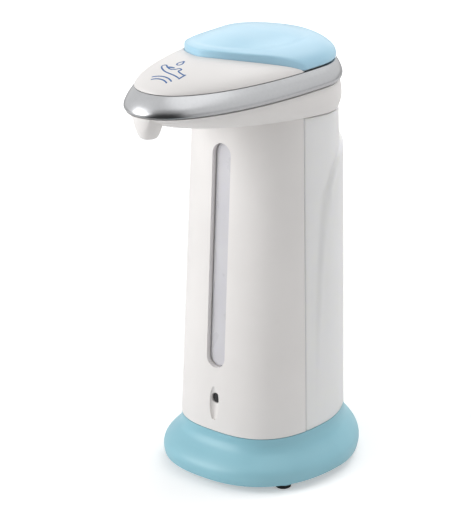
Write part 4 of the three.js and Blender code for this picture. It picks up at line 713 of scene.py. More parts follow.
# Rubber feet, with a rounded tread
for i, (x, y) in enumerate(FEET):
    low, high = box_of(f"rubber_foot_{i + 1}")
    pad = rounded_rod("foot", FOOT_RADIUS, high[2] - low[2], (x, y, low[2]), edge=TREAD_RADIUS)
    finish_piece(pad, f"foot_pad_{i + 1}", RUBBER, nodes=[f"rubber_foot_{i + 1}"])


# Front shell: a section outline that bends round the column, drawn up to just under the head
def shell_angles(size, inset, y_limit, steps):
    """Angles along the front of an oval, from its left side to its right, where y is at most a limit."""
    squareness = size[4]
    start = math.asin((-y_limit / (size[2] - inset)) ** (squareness / 2))
    return np.linspace(math.pi + start, 2 * math.pi - start, steps)


COLUMN_LOW_Z = COLUMN_FOOT[0] + GAP
SEAM_STEPS = [0, 0.04, 0.12, 0.25, 0.45, 0.7, 1]
ARC_STEPS = 150


def front_outline(size, z):
    """One section of the front shell: its outer face, rounded at both seams, and its inner face back."""
    seam = EDGE_RADIUS * np.array(SEAM_STEPS)
    arc = shell_angles(size, 0, SPLIT_Y - EDGE_RADIUS, ARC_STEPS)
    x, y = oval_at(size, 0, arc)
    outer = np.column_stack([x, y])
    corner = []
    for distance in seam[:-1]:
        angle = shell_angles(size, 0, SPLIT_Y - distance, 2)[1]
        away = rounding(distance, EDGE_RADIUS)
        edge_x, _ = oval_at(size, away, np.array([angle]))
        corner.append((edge_x[0], SPLIT_Y - distance))
    corner = np.array(corner)
    left = corner * (-1, 1)
    inner_arc = shell_angles(size, SHELL_WALL, SPLIT_Y, ARC_STEPS)
    inner = np.column_stack(oval_at(size, SHELL_WALL, inner_arc))
    return at_height(np.concatenate([left, outer, corner[::-1], inner[::-1]]), z)


def column_top_z(x, y):
    return underside_at(x, y) - GAP


def level_window(half_width, low_z, high_z, near_y, far_y):
    """A block with round ends in front view, to cut a slot through the front wall."""
    angles = off_axis_turn(ROUND_STEPS)
    x = half_width * np.cos(angles)
    z = np.where(np.sin(angles) > 0, high_z - half_width, low_z + half_width) + half_width * np.sin(angles)
    return loft("window", [np.column_stack([x, np.full_like(x, y), z]) for y in (far_y, near_y)])


def face_y(x, z, inset):
    heights = (COLUMN_FOOT[0], COLUMN_TOP[0])
    half_width = np.interp(z, heights, (COLUMN_FOOT[1], COLUMN_TOP[1])) - inset
    front = np.interp(z, heights, (COLUMN_FOOT[2], COLUMN_TOP[2])) - inset
    squareness = np.interp(z, heights, (COLUMN_FOOT[4], COLUMN_TOP[4]))
    return -front * (1 - np.abs(x / half_width) ** squareness) ** (1 / squareness)


def slot_ring(grow, inset):
    """The slot's outline, grown by some and lying on the column's face or under it."""
    angles = off_axis_turn(2 * ROUND_STEPS)
    half = SLOT_WIDTH / 2 + grow
    x = half * np.cos(angles)
    ends = np.where(np.sin(angles) > 0, SLOT_TOP_Z + grow - half, SLOT_BOTTOM_Z - grow + half)
    z = ends + half * np.sin(angles)
    return np.column_stack([x, face_y(x, z, inset), z])


def slot_chamfer():
    """The slot's sloping rim, rounded over where it meets the column's face."""
    turn = np.linspace(0, 1, 6)
    rings = [slot_ring(0, SLOT_CHAMFER + OVERRUN), slot_ring(0, SLOT_CHAMFER)]
    for share in turn:
        grow = SLOT_CHAMFER * (CHAMFER_START_SHARE + (1 - CHAMFER_START_SHARE) * share)
        depth = SLOT_CHAMFER * (1 - share) ** CHAMFER_CURVE * CHAMFER_DEPTH_SHARE
        rings.append(slot_ring(grow, depth))
    rings.append(slot_ring(2 * SLOT_CHAMFER, -SLOT_CHAMFER))
    return loft("chamfer", rings[::-1])


def sensor_dimple():
    """The shallow finger-shaped hollow round the sensor's window."""
    face = column_at(DIMPLE_Z)
    levels = np.linspace(-1, 1, 25)[1:-1]
    angles = full_turn(ROUND_STEPS)
    rings = []
    for level in levels:
        width = math.sqrt(1 - level * level)
        x = DIMPLE_HALF_WIDTH * width * np.cos(angles)
        y = DIMPLE_DEPTH * width * np.sin(angles) - face[2]
        z = np.full(len(angles), DIMPLE_Z + DIMPLE_HALF_HEIGHT * level)
        rings.append(np.column_stack([x, y, z]))
    return loft("dimple", rings)


def add_pillars(piece, places):
    """Pillars inside a piece, each with a bore for a screw of the foot."""
    for x, y in places:
        join(piece, rod(PILLAR_RADIUS, PILLAR_HEIGHT, (x, y, COLUMN_LOW_Z)))
        cut(piece, rod(SCREW_RADIUS + GAP, PILLAR_HEIGHT - SCREW_RADIUS, (x, y, COLUMN_LOW_Z - OVERRUN)))


def make_front_shell():
    low, top = front_outline(column_at(COLUMN_LOW_Z), COLUMN_LOW_Z), front_outline(COLUMN_TOP, column_top_z)
    shares = np.linspace(0, 1, 12)
    rings = [low + (top - low) * share for share in shares]
    shell = loft("front_shell", rings)
    cut(shell, slot_chamfer(), sensor_dimple())
    cut(shell, level_window(SLOT_WIDTH / 2, SLOT_BOTTOM_Z, SLOT_TOP_Z, -OUTSIDE, SPLIT_Y - SHELL_WALL))
    cut(shell, level_window(
        WINDOW_WIDTH / 2 + GAP,
        WINDOW_Z - WINDOW_HEIGHT / 2 - GAP,
        WINDOW_Z + WINDOW_HEIGHT / 2 + GAP,
        -OUTSIDE,
        SPLIT_Y - SHELL_WALL,
    ))
    add_pillars(shell, POSTS[:2])
    return shell


PILLAR_RADIUS = 2.8
PILLAR_HEIGHT = 16.0

finish_piece(make_front_shell(), "front_column_shell", WHITE_ABS, nodes=["front_shell"])


# Tank: its back stands out in a raised panel, and its front lies behind the front shell
def hump_at(y, z):
    """How far the tank's raised back stands out at a point of its side."""
    up = HUMP_TOP_Z - z
    if up <= 0:
        return np.zeros_like(y)
    edge_y = HUMP_FRONT_Y + HUMP_SWEEP ** 2 / up
    fade = min(1, max(0, (z - COLUMN_FOOT[0]) / (HUMP_TOP_Z - COLUMN_FOOT[0])))
    return HUMP_RISE * eased((y - edge_y) / HUMP_EDGE_WIDTH) * fade


def rear_angles(size, inset, y_limit, steps):
    """Angles along the rear of an oval, from its right side to its left, where y is at least a limit."""
    if y_limit >= 0:
        start = math.asin((y_limit / (size[3] - inset)) ** (size[5] / 2))
    else:
        start = -math.asin((-y_limit / (size[2] - inset)) ** (size[4] / 2))
    return np.linspace(start, math.pi - start, steps)


def rear_outer(size, z):
    """The tank's outer face at one height, with its seam edges rounded and its raised back."""
    seam_y = SPLIT_Y + GAP
    arc = rear_angles(size, 0, seam_y + EDGE_RADIUS, 2 * ARC_STEPS)
    x, y = oval_at(size, 0, arc)
    away = np.column_stack([x / size[1] ** 2, y / size[3] ** 2])
    away /= np.linalg.norm(away, axis=1, keepdims=True)
    outer = np.column_stack([x, y]) + away * hump_at(y, z)[:, None]
    corner = []
    for distance in EDGE_RADIUS * np.array(SEAM_STEPS[:-1]):
        angle = rear_angles(size, 0, seam_y + distance, 2)[0]
        edge_x, _ = oval_at(size, rounding(distance, EDGE_RADIUS), np.array([angle]))
        corner.append((edge_x[0], seam_y + distance))
    corner = np.array(corner)
    return np.concatenate([corner, outer, corner[::-1] * (-1, 1)])


def tank_levels(low_z):
    """Heights up the tank with more of them where the raised back begins, and the sizes there."""
    shares = np.concatenate([np.linspace(0, 0.72, 14), np.linspace(0.73, 0.96, 40), [1]])
    for share in shares:
        z = low_z + (COLUMN_TOP[0] - low_z) * share
        yield z, column_at(z), column_top_z if share == 1 else z


def window_pane():
    """The raised strip of the tank's front that fills the slot, with a softened rim."""
    depths = [SHELL_WALL + 2 * GAP, SLOT_CHAMFER + 2 * GAP, SLOT_CHAMFER + GAP]
    grown = [-GAP, -GAP, -2 * GAP]
    return loft("pane", [slot_ring(grow, depth) for grow, depth in zip(grown, depths)])


def make_reservoir():
    innards = SHELL_WALL + GAP
    rings = []
    for z, size, height in tank_levels(TANK_FLOOR_Z):
        front = np.column_stack(oval_at(size, innards, shell_angles(size, innards, SPLIT_Y, ARC_STEPS)))
        rings.append(at_height(np.concatenate([rear_outer(size, z), front]), height))
    tank = loft("reservoir", rings)
    skirt_rings = []
    for z in np.linspace(COLUMN_LOW_Z, TANK_FLOOR_Z + TANK_FLOOR_THICKNESS / 2, 6):
        size = column_at(z)
        angles = rear_angles(size, SHELL_WALL, SPLIT_Y + GAP, ARC_STEPS)
        inner = np.column_stack(oval_at(size, SHELL_WALL, angles))
        skirt_rings.append(at_height(np.concatenate([rear_outer(size, z), inner[::-1]]), z))
    join(tank, loft("skirt", skirt_rings))
    room_low_z = TANK_FLOOR_Z + TANK_FLOOR_THICKNESS
    room = loft("room", [
        ring(column_at(room_low_z), innards + TANK_WALL + 2 * GAP, room_low_z),
        ring(column_at(room_low_z + 2 * GAP), innards + TANK_WALL, room_low_z + 2 * GAP),
        ring(COLUMN_TOP, innards + TANK_WALL, COLUMN_TOP[0] + 3 * OVERRUN),
    ])
    cut(room, chase(CHASE_RADIUS + TANK_WALL, TANK_FLOOR_Z - OVERRUN))
    cut(tank, room, chase(CHASE_RADIUS, TANK_FLOOR_Z - OVERRUN))
    add_pillars(tank, POSTS[2:])
    outlet_x, outlet_y, _ = foot_of("tank_strainer")
    spigot_z = TANK_FLOOR_Z - SPIGOT_LENGTH + GAP
    join(tank, rod(BARB_RADIUS, SPIGOT_LENGTH, (outlet_x, outlet_y, spigot_z), steps=TUBE_STEPS))
    bore_place = (outlet_x, outlet_y, spigot_z - OVERRUN)
    return cut(tank, rod(BARB_BORE, OUTLET_BORE_LENGTH, bore_place, steps=TUBE_STEPS))


TUBE_X = -18.0
TUBE_Y = -15.0
CHASE_RADIUS = 3.6

# How far the tube's groove is cut above the column, and outwards past the tank's face
CHASE_RISE = 80.0
CHASE_REACH = 47.0

SPIGOT_LENGTH = 7.8
BARB_RADIUS = 1.7
BARB_BORE = 0.9


def chase(radius, low_z):
    """The groove for the delivery tube, open to the outside of the tank."""
    height = CHASE_RISE + OVERRUN + COLUMN_TOP[0] - low_z
    angle = math.atan2(TUBE_Y, TUBE_X)
    along = np.array([math.cos(angle), math.sin(angle)])
    across = np.array([-along[1], along[0]])
    half_turn = np.linspace(np.pi / 2, 3 * np.pi / 2, 25)
    middle = np.array([TUBE_X, TUBE_Y])
    outline = [middle + radius * (math.cos(a) * along + math.sin(a) * across) for a in half_turn]
    outline += [outline[-1] + CHASE_REACH * along, outline[0] + CHASE_REACH * along]
    return prism(outline, low_z, low_z + height)


finish_piece(make_reservoir(), "tank_moulding", TANK_PLASTIC, nodes=["reservoir"])
finish_piece(window_pane(), "tank_window", WINDOW_PLASTIC, nodes=["reservoir"])


# Head housing: smooth from its slanted underside to the trim band, with the spout boss in front
BAND_HEIGHT = BAND_HEAD[0] - BAND_FOOT[0]
INNER_BAND = BAND_WALL + GAP


def band_ring(share, inset, z=None, bulge=0.0):
    """A ring of the head's side, from the band's lower edge (0) to its upper edge (1)."""
    size = BAND_FOOT + (BAND_HEAD - BAND_FOOT) * share
    return ring(size, inset - bulge, size[0] if z is None else z)


def head_side_rings():
    """Rings from the underside to the band, through the swell between them."""
    shares = np.linspace(0, 1, 18)
    swell = smooth_curve(HEAD_SWELL, shares)
    size_share = smooth_curve(HEAD_SIZE_SHARES, shares)
    top_z = BAND_FOOT[0] - GAP / 2
    for share, out, toward in zip(shares, swell, size_share):
        size = HEAD_UNDERSIDE + (BAND_FOOT - HEAD_UNDERSIDE) * toward
        edge = rounding(share * (BAND_FOOT[0] - HEAD_UNDERSIDE[0]), HEAD_EDGE_RADIUS)
        yield ring(
            size, edge - out * HEAD_WALL,
            lambda x, y, share=share: underside_at(x, y) + (top_z - underside_at(x, y)) * share)


HEAD_EDGE_RADIUS = 0.8


def spout_boss():
    heights = np.linspace(0, 1, 24)
    radii = smooth_curve([(height, share) for share, height in BOSS_SHARES], heights) * BOSS_RADIUS
    reach = BAND_FOOT[0] - SPOUT_BOTTOM_Z
    softened = [(radii[0] - 2 * GAP, 0), (radii[0] - 0.6 * GAP, 0.4 * GAP), (radii[0], GAP)]
    rest = [(radius, height * reach) for radius, height in zip(radii[1:], heights[1:])]
    return turned("boss", softened + rest, (0, SPOUT_Y, SPOUT_BOTTOM_Z), steps=FINE_STEPS)


def make_head_housing():
    housing = loft("head_housing", list(head_side_rings()))
    join(housing, loft("lip", [
        band_ring(0, INNER_BAND, BAND_FOOT[0] - HEAD_WALL),
        band_ring(HEAD_LIP_SHARE, INNER_BAND),
    ]))
    boss = keep(spout_boss(), loft("reach", [
        ring(BAND_FOOT, GAP, SPOUT_BOTTOM_Z - OVERRUN),
        ring(BAND_FOOT, GAP, BAND_FOOT[0] - GAP / 2),
    ]))
    join(housing, boss)
    cut(housing, loft("room", [
        ring(HEAD_UNDERSIDE, HEAD_WALL, lambda x, y: underside_at(x, y) + HEAD_WALL),
        band_ring(0, INNER_BAND + HEAD_WALL),
        band_ring(1, INNER_BAND + HEAD_WALL),
    ]))
    seat_top = BAND_HEAD[0]
    cut(
        housing,
        rod(NOZZLE_RADIUS + GAP, seat_top - SPOUT_BOTTOM_Z, (0, SPOUT_Y, SPOUT_BOTTOM_Z - OVERRUN)),
        rod(NOZZLE_FLANGE_RADIUS + GAP, BAND_HEIGHT, (0, SPOUT_Y, NOZZLE_FLANGE_Z - GAP)),
        block(
            (-TUBE_RADIUS - GAP, SPOUT_Y, NOZZLE_BEND_Z - TUBE_RADIUS - GAP),
            (TUBE_RADIUS + GAP, SPOUT_Y + 2 * BARB_LENGTH, seat_top),
        ),
        rod(NECK_RADIUS + GAP, BORE_LENGTH, (0, NECK_Y, HEAD_UNDERSIDE[0] - 2 * OVERRUN), steps=FINE_STEPS),
        rod(TUBE_RADIUS + GAP, BORE_LENGTH, (TUBE_X, TUBE_Y, HEAD_UNDERSIDE[0] - 2 * OVERRUN)),
    )
    return housing


NOZZLE_FLANGE_RADIUS = 3.0
NOZZLE_FLANGE_Z = 161.0
NOZZLE_BEND_Z = 165.6
TUBE_RADIUS = 3.0
BARB_LENGTH = 5.0


def tank_collar():
    """The collar under the head that takes the tank's mouth and its gasket."""
    inset = SHELL_WALL + GAP + TANK_WALL + GASKET_THICKNESS + 2 * GAP
    low_z = HEAD_UNDERSIDE[0] - COLLAR_DROP
    outside = loft("collar", [
        ring(COLUMN_TOP, inset, low_z),
        ring(COLUMN_TOP, inset, lambda x, y: underside_at(x, y) + HEAD_WALL - GAP),
    ])
    cut(outside, loft("collar_room", [
        ring(COLUMN_TOP, inset + COLLAR_WALL, low_z - OVERRUN),
        ring(COLUMN_TOP, inset + COLLAR_WALL, underside_at),
    ]))
    return cut(outside, chase(CHASE_RADIUS + TANK_WALL + GASKET_THICKNESS + 2 * GAP, low_z - OVERRUN))


GASKET_THICKNESS = 1.2
COLLAR_DROP = 5.0
COLLAR_WALL = 1.6


def cover_screw_places():
    return [foot_of("cover_screw_1"), foot_of("cover_screw_2")]


def finished_head_housing():
    housing = join(make_head_housing(), tank_collar())
    neck_place = (0, NECK_Y, HEAD_UNDERSIDE[0] - 3 * COLLAR_DROP)
    cut(housing, rod(NECK_RADIUS + GAP, BORE_LENGTH, neck_place, steps=FINE_STEPS))
    for x, y, head_z in cover_screw_places():
        seat_z = head_z + SCREW_HEAD_HEIGHT + GAP
        floor_z = underside_at(x, y) + HEAD_WALL / 2
        seat_height = seat_z + SCREW_SEAT_THICKNESS - floor_z
        join(housing, rod(SCREW_HEAD_RADIUS + GAP + HEAD_WALL / 2, seat_height, (x, y, floor_z)))
        start_z = HEAD_UNDERSIDE[0] - OVERRUN
        cut(
            housing,
            rod(SCREW_HEAD_RADIUS + GAP, seat_z - HEAD_UNDERSIDE[0] + OVERRUN, (x, y, start_z)),
            rod(SCREW_RADIUS + GAP, SCREW_BORE_LENGTH, (x, y, start_z)),
        )
    return housing


finish_piece(finished_head_housing(), "head_shell", WHITE_ABS, nodes=["head_housing"])


# Trim band: a bulging strip with small rounds at both edges
def make_trim_band():
    # Rings lie closer together at both edges
    heights = np.concatenate([np.linspace(0, 0.12, 7), np.linspace(0.15, 0.9, 20), np.linspace(0.93, 1, 5)])
    bulges = np.maximum(0, smooth_curve(BULGE_SHARES, heights)) * BAND_BULGE
    low_z = BAND_FOOT[0] + GAP / 2
    height = BAND_HEIGHT - GAP
    rings = [band_ring(share, 0, low_z + height * share, bulge) for share, bulge in zip(heights, bulges)]
    inside = loft("inside", [
        band_ring(0, BAND_WALL, BAND_FOOT[0] - OVERRUN),
        band_ring(0, BAND_WALL),
        band_ring(1, BAND_WALL),
        band_ring(1, BAND_WALL, BAND_HEAD[0] + OVERRUN),
    ])
    return cut(loft("trim_band", rings), hinge_clearing(), inside)


def hinge_clearing():
    half = KNUCKLE_HALF_LENGTH + 2 * GAP + EAR_LENGTH
    return rod(HINGE_RELIEF, 2 * half, (-half, HINGE_Y, HINGE_Z), "X")


finish_piece(make_trim_band(), "silver_band", SILVER_PAINT, nodes=["trim_band"])


# Dome: its height over the band depends on how far out a point lies between its middle and its rim
def dome_share(x, y, inset):
    """How far out a point lies, from 0 at the dome's middle to 1 at its rim."""
    low, high = np.zeros_like(x), np.full_like(x, 2.0)
    for _ in range(DOME_HALVINGS):
        share = (low + high) / 2
        rim_y = (y - DOME_MIDDLE_Y) / share + DOME_MIDDLE_Y
        outside = oval_measure(BAND_HEAD, inset, x / share, rim_y) > 1
        low = np.where(outside, share, low)
        high = np.where(outside, high, share)
    return (low + high) / 2


def dome_z(share, lift, rise):
    return BAND_HEAD[0] + lift + rise * (1 - share ** 2) ** DOME_ROUNDNESS


def dome_height(x, y, lift, rise, inset=0.0):
    return dome_z(np.clip(dome_share(x, y, inset), 0, 1), lift, rise)


def dome_rings(inset, lift, rise):
    """Rings over the dome, from its rim inwards."""
    turn = np.linspace(0, np.pi / 2, DOME_LEVELS)[:-1]
    for angle in turn:
        share = math.cos(angle)
        base = ring(BAND_HEAD, inset, 0)
        z = dome_z(share, lift, rise)
        x = base[:, 0] * share
        y = (base[:, 1] - DOME_MIDDLE_Y) * share + DOME_MIDDLE_Y
        yield np.column_stack([x, y, np.full(len(x), z)])


def lid_outline(inset):
    """Plan of the lid: a blunt nose that runs back past both sides of the dome, and everything behind it."""
    root_y = LID_NOSE_ROOT_Y + inset
    half = LID_NOSE_HALF_WIDTH - inset
    power = 2 / LID_NOSE_SQUARENESS
    angles = np.linspace(np.pi, 2 * np.pi, NOSE_STEPS)
    x = half * np.sign(np.cos(angles)) * np.abs(np.cos(angles)) ** power
    y = root_y - (LID_NOSE_ROOT_Y - LID_NOSE_Y) * np.abs(np.sin(angles)) ** power
    wide = half + OVERRUN
    rear = BAND_HEAD[3] + 3 * OVERRUN - inset
    behind = [(wide, root_y), (wide, rear), (-wide, rear), (-wide, root_y)]
    return np.concatenate([np.column_stack([x, y]), behind])


def make_top_cover():
    top_z = BAND_HEAD[0] + 2 * LID_RISE
    deck_z = BAND_HEAD[0] - WELL_DEPTH
    skirt_z = BAND_FOOT[0] + BAND_HEIGHT * HEAD_LIP_SHARE + GAP
    cover = loft("top_cover", list(dome_rings(0, GAP / 2, COVER_RISE)))
    join(cover, loft("skirt", [
        band_ring(COVER_SKIRT_SHARE, INNER_BAND, skirt_z),
        band_ring(1, INNER_BAND),
        band_ring(1, INNER_BAND, BAND_HEAD[0] + COVER_WALL / 2),
    ]))
    below = loft("below", [
        band_ring(COVER_SKIRT_SHARE, INNER_BAND + COVER_WALL, skirt_z - OVERRUN),
        band_ring(COVER_ROOM_SHARE, INNER_BAND + COVER_WALL),
        *list(dome_rings(INNER_BAND + COVER_WALL, -COVER_WALL, COVER_RISE))[4:],
    ])
    well_shell = prism(lid_outline(0), deck_z - DECK_THICKNESS, BAND_HEAD[0] + OVERRUN)
    keep(well_shell, loft("margin", [
        ring(BAND_HEAD, WELL_MARGIN - COVER_WALL, deck_z - DECK_THICKNESS - OVERRUN),
        ring(BAND_HEAD, WELL_MARGIN - COVER_WALL, top_z),
    ]))
    cut(below, well_shell)
    well = prism(lid_outline(COVER_WALL), deck_z, top_z)
    keep(well, loft("margin", [
        ring(BAND_HEAD, WELL_MARGIN, deck_z - OVERRUN),
        ring(BAND_HEAD, WELL_MARGIN, top_z),
    ]))
    cut(cover, prism(lid_outline(-GAP), BAND_HEAD[0], top_z))
    cut(cover, below)
    cut(cover, well)
    for x, y, head_z in cover_screw_places():
        low = head_z + SCREW_HEAD_HEIGHT + SCREW_SEAT_THICKNESS + 2 * GAP
        join(cover, rod(PILLAR_RADIUS, BAND_HEAD[0] + COVER_WALL + OVERRUN - low, (x, y, low)))
        cut(cover, rod(SCREW_RADIUS + GAP, 2 * WELL_DEPTH, (x, y, low - OVERRUN)))
    cut(cover, rod(NECK_RADIUS + GAP, 2 * WELL_DEPTH, (0, NECK_Y, deck_z - 2 * OVERRUN), steps=FINE_STEPS))
    cut(cover, hinge_clearing())
    join(cover, block(
        (-KNUCKLE_HALF_LENGTH, BAND_HEAD[3] - WELL_MARGIN, HINGE_Z - KNUCKLE_RADIUS),
        (KNUCKLE_HALF_LENGTH, HINGE_Y, HINGE_Z),
    ))
    join(cover, rounded_rod("knuckle", KNUCKLE_RADIUS, 2 * KNUCKLE_HALF_LENGTH,
                            (-KNUCKLE_HALF_LENGTH, HINGE_Y, HINGE_Z), "X"))
    return cut(cover, rod(HINGE_PIN_RADIUS + GAP, OUTSIDE, (-OUTSIDE / 2, HINGE_Y, HINGE_Z), "X"))


finish_piece(make_top_cover(), "cover_shell", WHITE_ABS, nodes=["top_cover"])


# Lid: a grid of rays and rings over its plan, so that its edge can be rounded all along the nose
def lid_reach(angles, inset):
    """Distance from the lid's centre to its outline along some directions."""
    nose_half = LID_NOSE_HALF_WIDTH - inset
    nose_depth = LID_NOSE_ROOT_Y - LID_NOSE_Y
    root_y = LID_NOSE_ROOT_Y + inset
    low, high = np.zeros_like(angles), np.full_like(angles, OUTSIDE)
    for _ in range(LID_HALVINGS):
        reach = (low + high) / 2
        x = reach * np.cos(angles)
        y = reach * np.sin(angles) + LID_CENTRE_Y
        in_oval = oval_measure(BAND_HEAD, inset, x, y) < 1
        ahead = np.minimum(y - root_y, 0)
        in_nose = (np.abs(x / nose_half) ** LID_NOSE_SQUARENESS
                   + np.abs(ahead / nose_depth) ** LID_NOSE_SQUARENESS < 1)
        inside = in_oval & (in_nose | (y > root_y))
        low = np.where(inside, reach, low)
        high = np.where(inside, high, reach)
    return low


def dish_at(x, y):
    inward = np.maximum(0, 1 - (x / DISH_HALF_WIDTH) ** 2 - ((y - DISH_Y) / DISH_HALF_LENGTH) ** 2)
    return DISH_DEPTH * eased(DISH_STEEPNESS * inward)


def tip_drop(y):
    """How far the lid slopes down to its tip."""
    return LID_TIP_DROP * eased(1 - (y - LID_NOSE_Y) / LID_TIP_LENGTH)


def lid_surface(inset, drop, edge_radius, rings):
    """Rings of the lid's upper face, from its middle out, dropped by a wall where it is the inner face."""
    angles = full_turn(2 * OVAL_STEPS)
    reach = lid_reach(angles, inset)
    for share in np.sin(np.linspace(LID_START_ANGLE, np.pi / 2, rings)):
        x = reach * share * np.cos(angles)
        y = reach * share * np.sin(angles) + LID_CENTRE_Y
        z = dome_height(x, y, LID_STEP - drop, LID_RISE - LID_STEP, inset) - dish_at(x, y) - tip_drop(y)
        z -= rounding(reach * (1 - share), edge_radius)
        yield np.column_stack([x, y, z])


def make_lid():
    low_z = BAND_HEAD[0] + 2 * GAP
    top = list(lid_surface(0, 0, LID_EDGE_RADIUS, LID_RINGS))
    under = list(lid_surface(LID_WALL, LID_WALL, 0.0, LID_UNDER_RINGS))
    rim_in, rim_out = under[-1].copy(), top[-1].copy()
    rim_in[:, 2] = low_z
    rim_out[:, 2] = low_z + GAP
    foot = rim_out + (rim_in - rim_out) * GAP / LID_WALL
    foot[:, 2] = low_z
    under[-1][:, 2] = np.maximum(under[-1][:, 2], low_z + GAP)
    lid = loft("filler_lid", [*under, rim_in, foot, rim_out, *top[::-1]])
    post_z = box_of("lid_seal")[0][2] + SEAL_GRIP
    post = rod(SEAL_POST_RADIUS + LID_WALL, 2 * LID_RISE, (0, NECK_Y, post_z), steps=FINE_STEPS)
    under_skin = loft("under_skin", [
        at_height(under[-1][:, :2], BAND_HEAD[0] - WELL_DEPTH),
        *[r + (0, 0, LID_WALL / 2) for r in under[::-1]],
    ])
    keep(post, under_skin)
    cut(post, rod(SEAL_POST_RADIUS, 2 * LID_RISE, (0, NECK_Y, BAND_HEAD[0] - WELL_DEPTH), steps=FINE_STEPS))
    join(lid, post)
    for side in (1, -1):
        inner = side * (KNUCKLE_HALF_LENGTH + GAP)
        start = min(inner, inner + side * EAR_LENGTH)
        join(lid, rounded_rod("ear", KNUCKLE_RADIUS, EAR_LENGTH, (start, HINGE_Y, HINGE_Z), "X"))
    half = KNUCKLE_HALF_LENGTH + GAP
    cut(lid, rod(KNUCKLE_RADIUS + GAP, 2 * half, (-half, HINGE_Y, HINGE_Z), "X"))
    cut(lid, block(
        (-half, HINGE_Y - KNUCKLE_RADIUS - LID_WALL, BAND_HEAD[0] - OVERRUN),
        (half, HINGE_Y + KNUCKLE_RADIUS + GAP, HINGE_Z + GAP),
    ))
    pin_half = KNUCKLE_HALF_LENGTH + EAR_LENGTH
    return cut(lid, rod(HINGE_PIN_RADIUS + GAP, 2 * pin_half, (-pin_half, HINGE_Y, HINGE_Z), "X"))


SEAL_POST_RADIUS = 6.3
SEAL_GRIP = 1.5

finish_piece(make_lid(), "lid_shell", SKY_ABS, body="lid", nodes=["filler_lid"])


# Printed sign on the cover
def on_cover(points, height):
    """Points of the sign at a height over the cover's dome."""
    z = dome_height(points[:, 0], points[:, 1], GAP / 2, COVER_RISE) + height
    return np.column_stack([points, z])


def stroke(name, corners):
    """A printed line through some points of the sign."""
    corners = np.array(corners, float)
    along = np.linspace(0, 1, len(corners))
    shares = np.linspace(0, 1, STROKE_STEPS)
    path = np.column_stack([smooth_curve(np.column_stack([along, values]), shares) for values in corners.T])
    heading = np.gradient(path, axis=0)
    heading /= np.linalg.norm(heading, axis=1, keepdims=True)
    side = INK_HALF_WIDTH * np.column_stack([-heading[:, 1], heading[:, 0]])
    edges = [
        on_cover(path - side, -INK_DEPTH), on_cover(path + side, -INK_DEPTH),
        on_cover(path + side, INK_HEIGHT), on_cover(path - side, INK_HEIGHT),
    ]
    return loft(name, list(np.stack(edges, axis=1)))


def pool():
    """The filled oval that lies in the palm."""
    turn = full_turn(ROUND_STEPS)
    outline = np.array(POOL_MIDDLE) + np.column_stack([np.cos(turn), np.sin(turn)]) * POOL_HALF_SIZE
    return loft("pool", [on_cover(outline, -INK_DEPTH), on_cover(outline, INK_HEIGHT)])


def arc_points(radius):
    angles = np.radians(np.linspace(90 + ARC_HALF_ANGLE, 90 - ARC_HALF_ANGLE, 7))
    return np.array(ARC_MIDDLE) + radius * np.column_stack([np.cos(angles), np.sin(angles)])


for name, corners in (("palm", PALM), ("cuff", CUFF), ("drop", DROP)):
    finish_piece(stroke(name, corners), f"sign_{name}", BLUE_INK)
finish_piece(pool(), "sign_pool", BLUE_INK)
for i, radius in enumerate(ARC_RADII):
    finish_piece(stroke("arc", arc_points(radius)), f"sign_arc_{i + 1}", BLUE_INK)


# Stage: a white floor that keeps the object's shadow, and can be looked through from below
def ray_kinds(tree):
    """Two outputs that are 1 for some rays: straight or through clear pieces to the camera, and mirrored."""
    rays = add_node(tree, "LightPath")
    direct = add_node(
        tree, "Math", {"operation": "MAXIMUM"},
        {0: rays.outputs["Is Camera Ray"], 1: rays.outputs["Is Transmission Ray"]})
    return direct.outputs["Value"], rays.outputs["Is Glossy Ray"]


def white_floor():
    """Matt paper with a glow that the camera sees, stronger with distance, and mirrors see a little of."""
    material, tree = empty_material("white_floor")
    paper = add_node(tree, "BsdfDiffuse", {"Color": linear(PAPER_WHITE)})
    glow = add_node(tree, "Emission", {"Color": (1, 1, 1, 1)})
    direct, mirrored = ray_kinds(tree)
    seen = add_node(
        tree, "Math", {"operation": "MULTIPLY_ADD", 1: MIRRORED_LIFT}, {0: mirrored, 2: direct})
    place = add_node(tree, "TexCoord").outputs["Object"]
    away = add_node(tree, "VectorMath", {"operation": "LENGTH"}, {0: place})
    whiter = add_node(
        tree, "MapRange",
        {"interpolation_type": "SMOOTHSTEP", "From Min": SHADOW_REACH, "From Max": WHITE_REACH,
         "To Min": FLOOR_LIFT, "To Max": FAR_LIFT},
        {"Value": away.outputs["Value"]})
    lift = add_node(
        tree, "Math", {"operation": "MULTIPLY"}, {0: seen.outputs["Value"], 1: whiter.outputs["Result"]})
    tree.links.new(lift.outputs["Value"], glow.inputs["Strength"])
    both = add_node(tree, "AddShader", links={0: paper.outputs["BSDF"], 1: glow.outputs["Emission"]})
    from_below = add_node(tree, "NewGeometry").outputs["Backfacing"]
    nothing = add_node(tree, "BsdfTransparent")
    one_sided = add_node(
        tree, "MixShader", links={0: from_below, 1: both.outputs["Shader"], 2: nothing.outputs["BSDF"]})
    add_node(tree, "OutputMaterial", links={"Surface": one_sided.outputs["Shader"]})
    return material


def make_floor():
    sides = [(-1, -1), (1, -1), (1, 1), (-1, 1)]
    floor = make_object("floor", [(FLOOR_REACH * x, FLOOR_REACH * y, 0) for x, y in sides], [(0, 1, 2, 3)])
    floor.data.materials.append(white_floor())


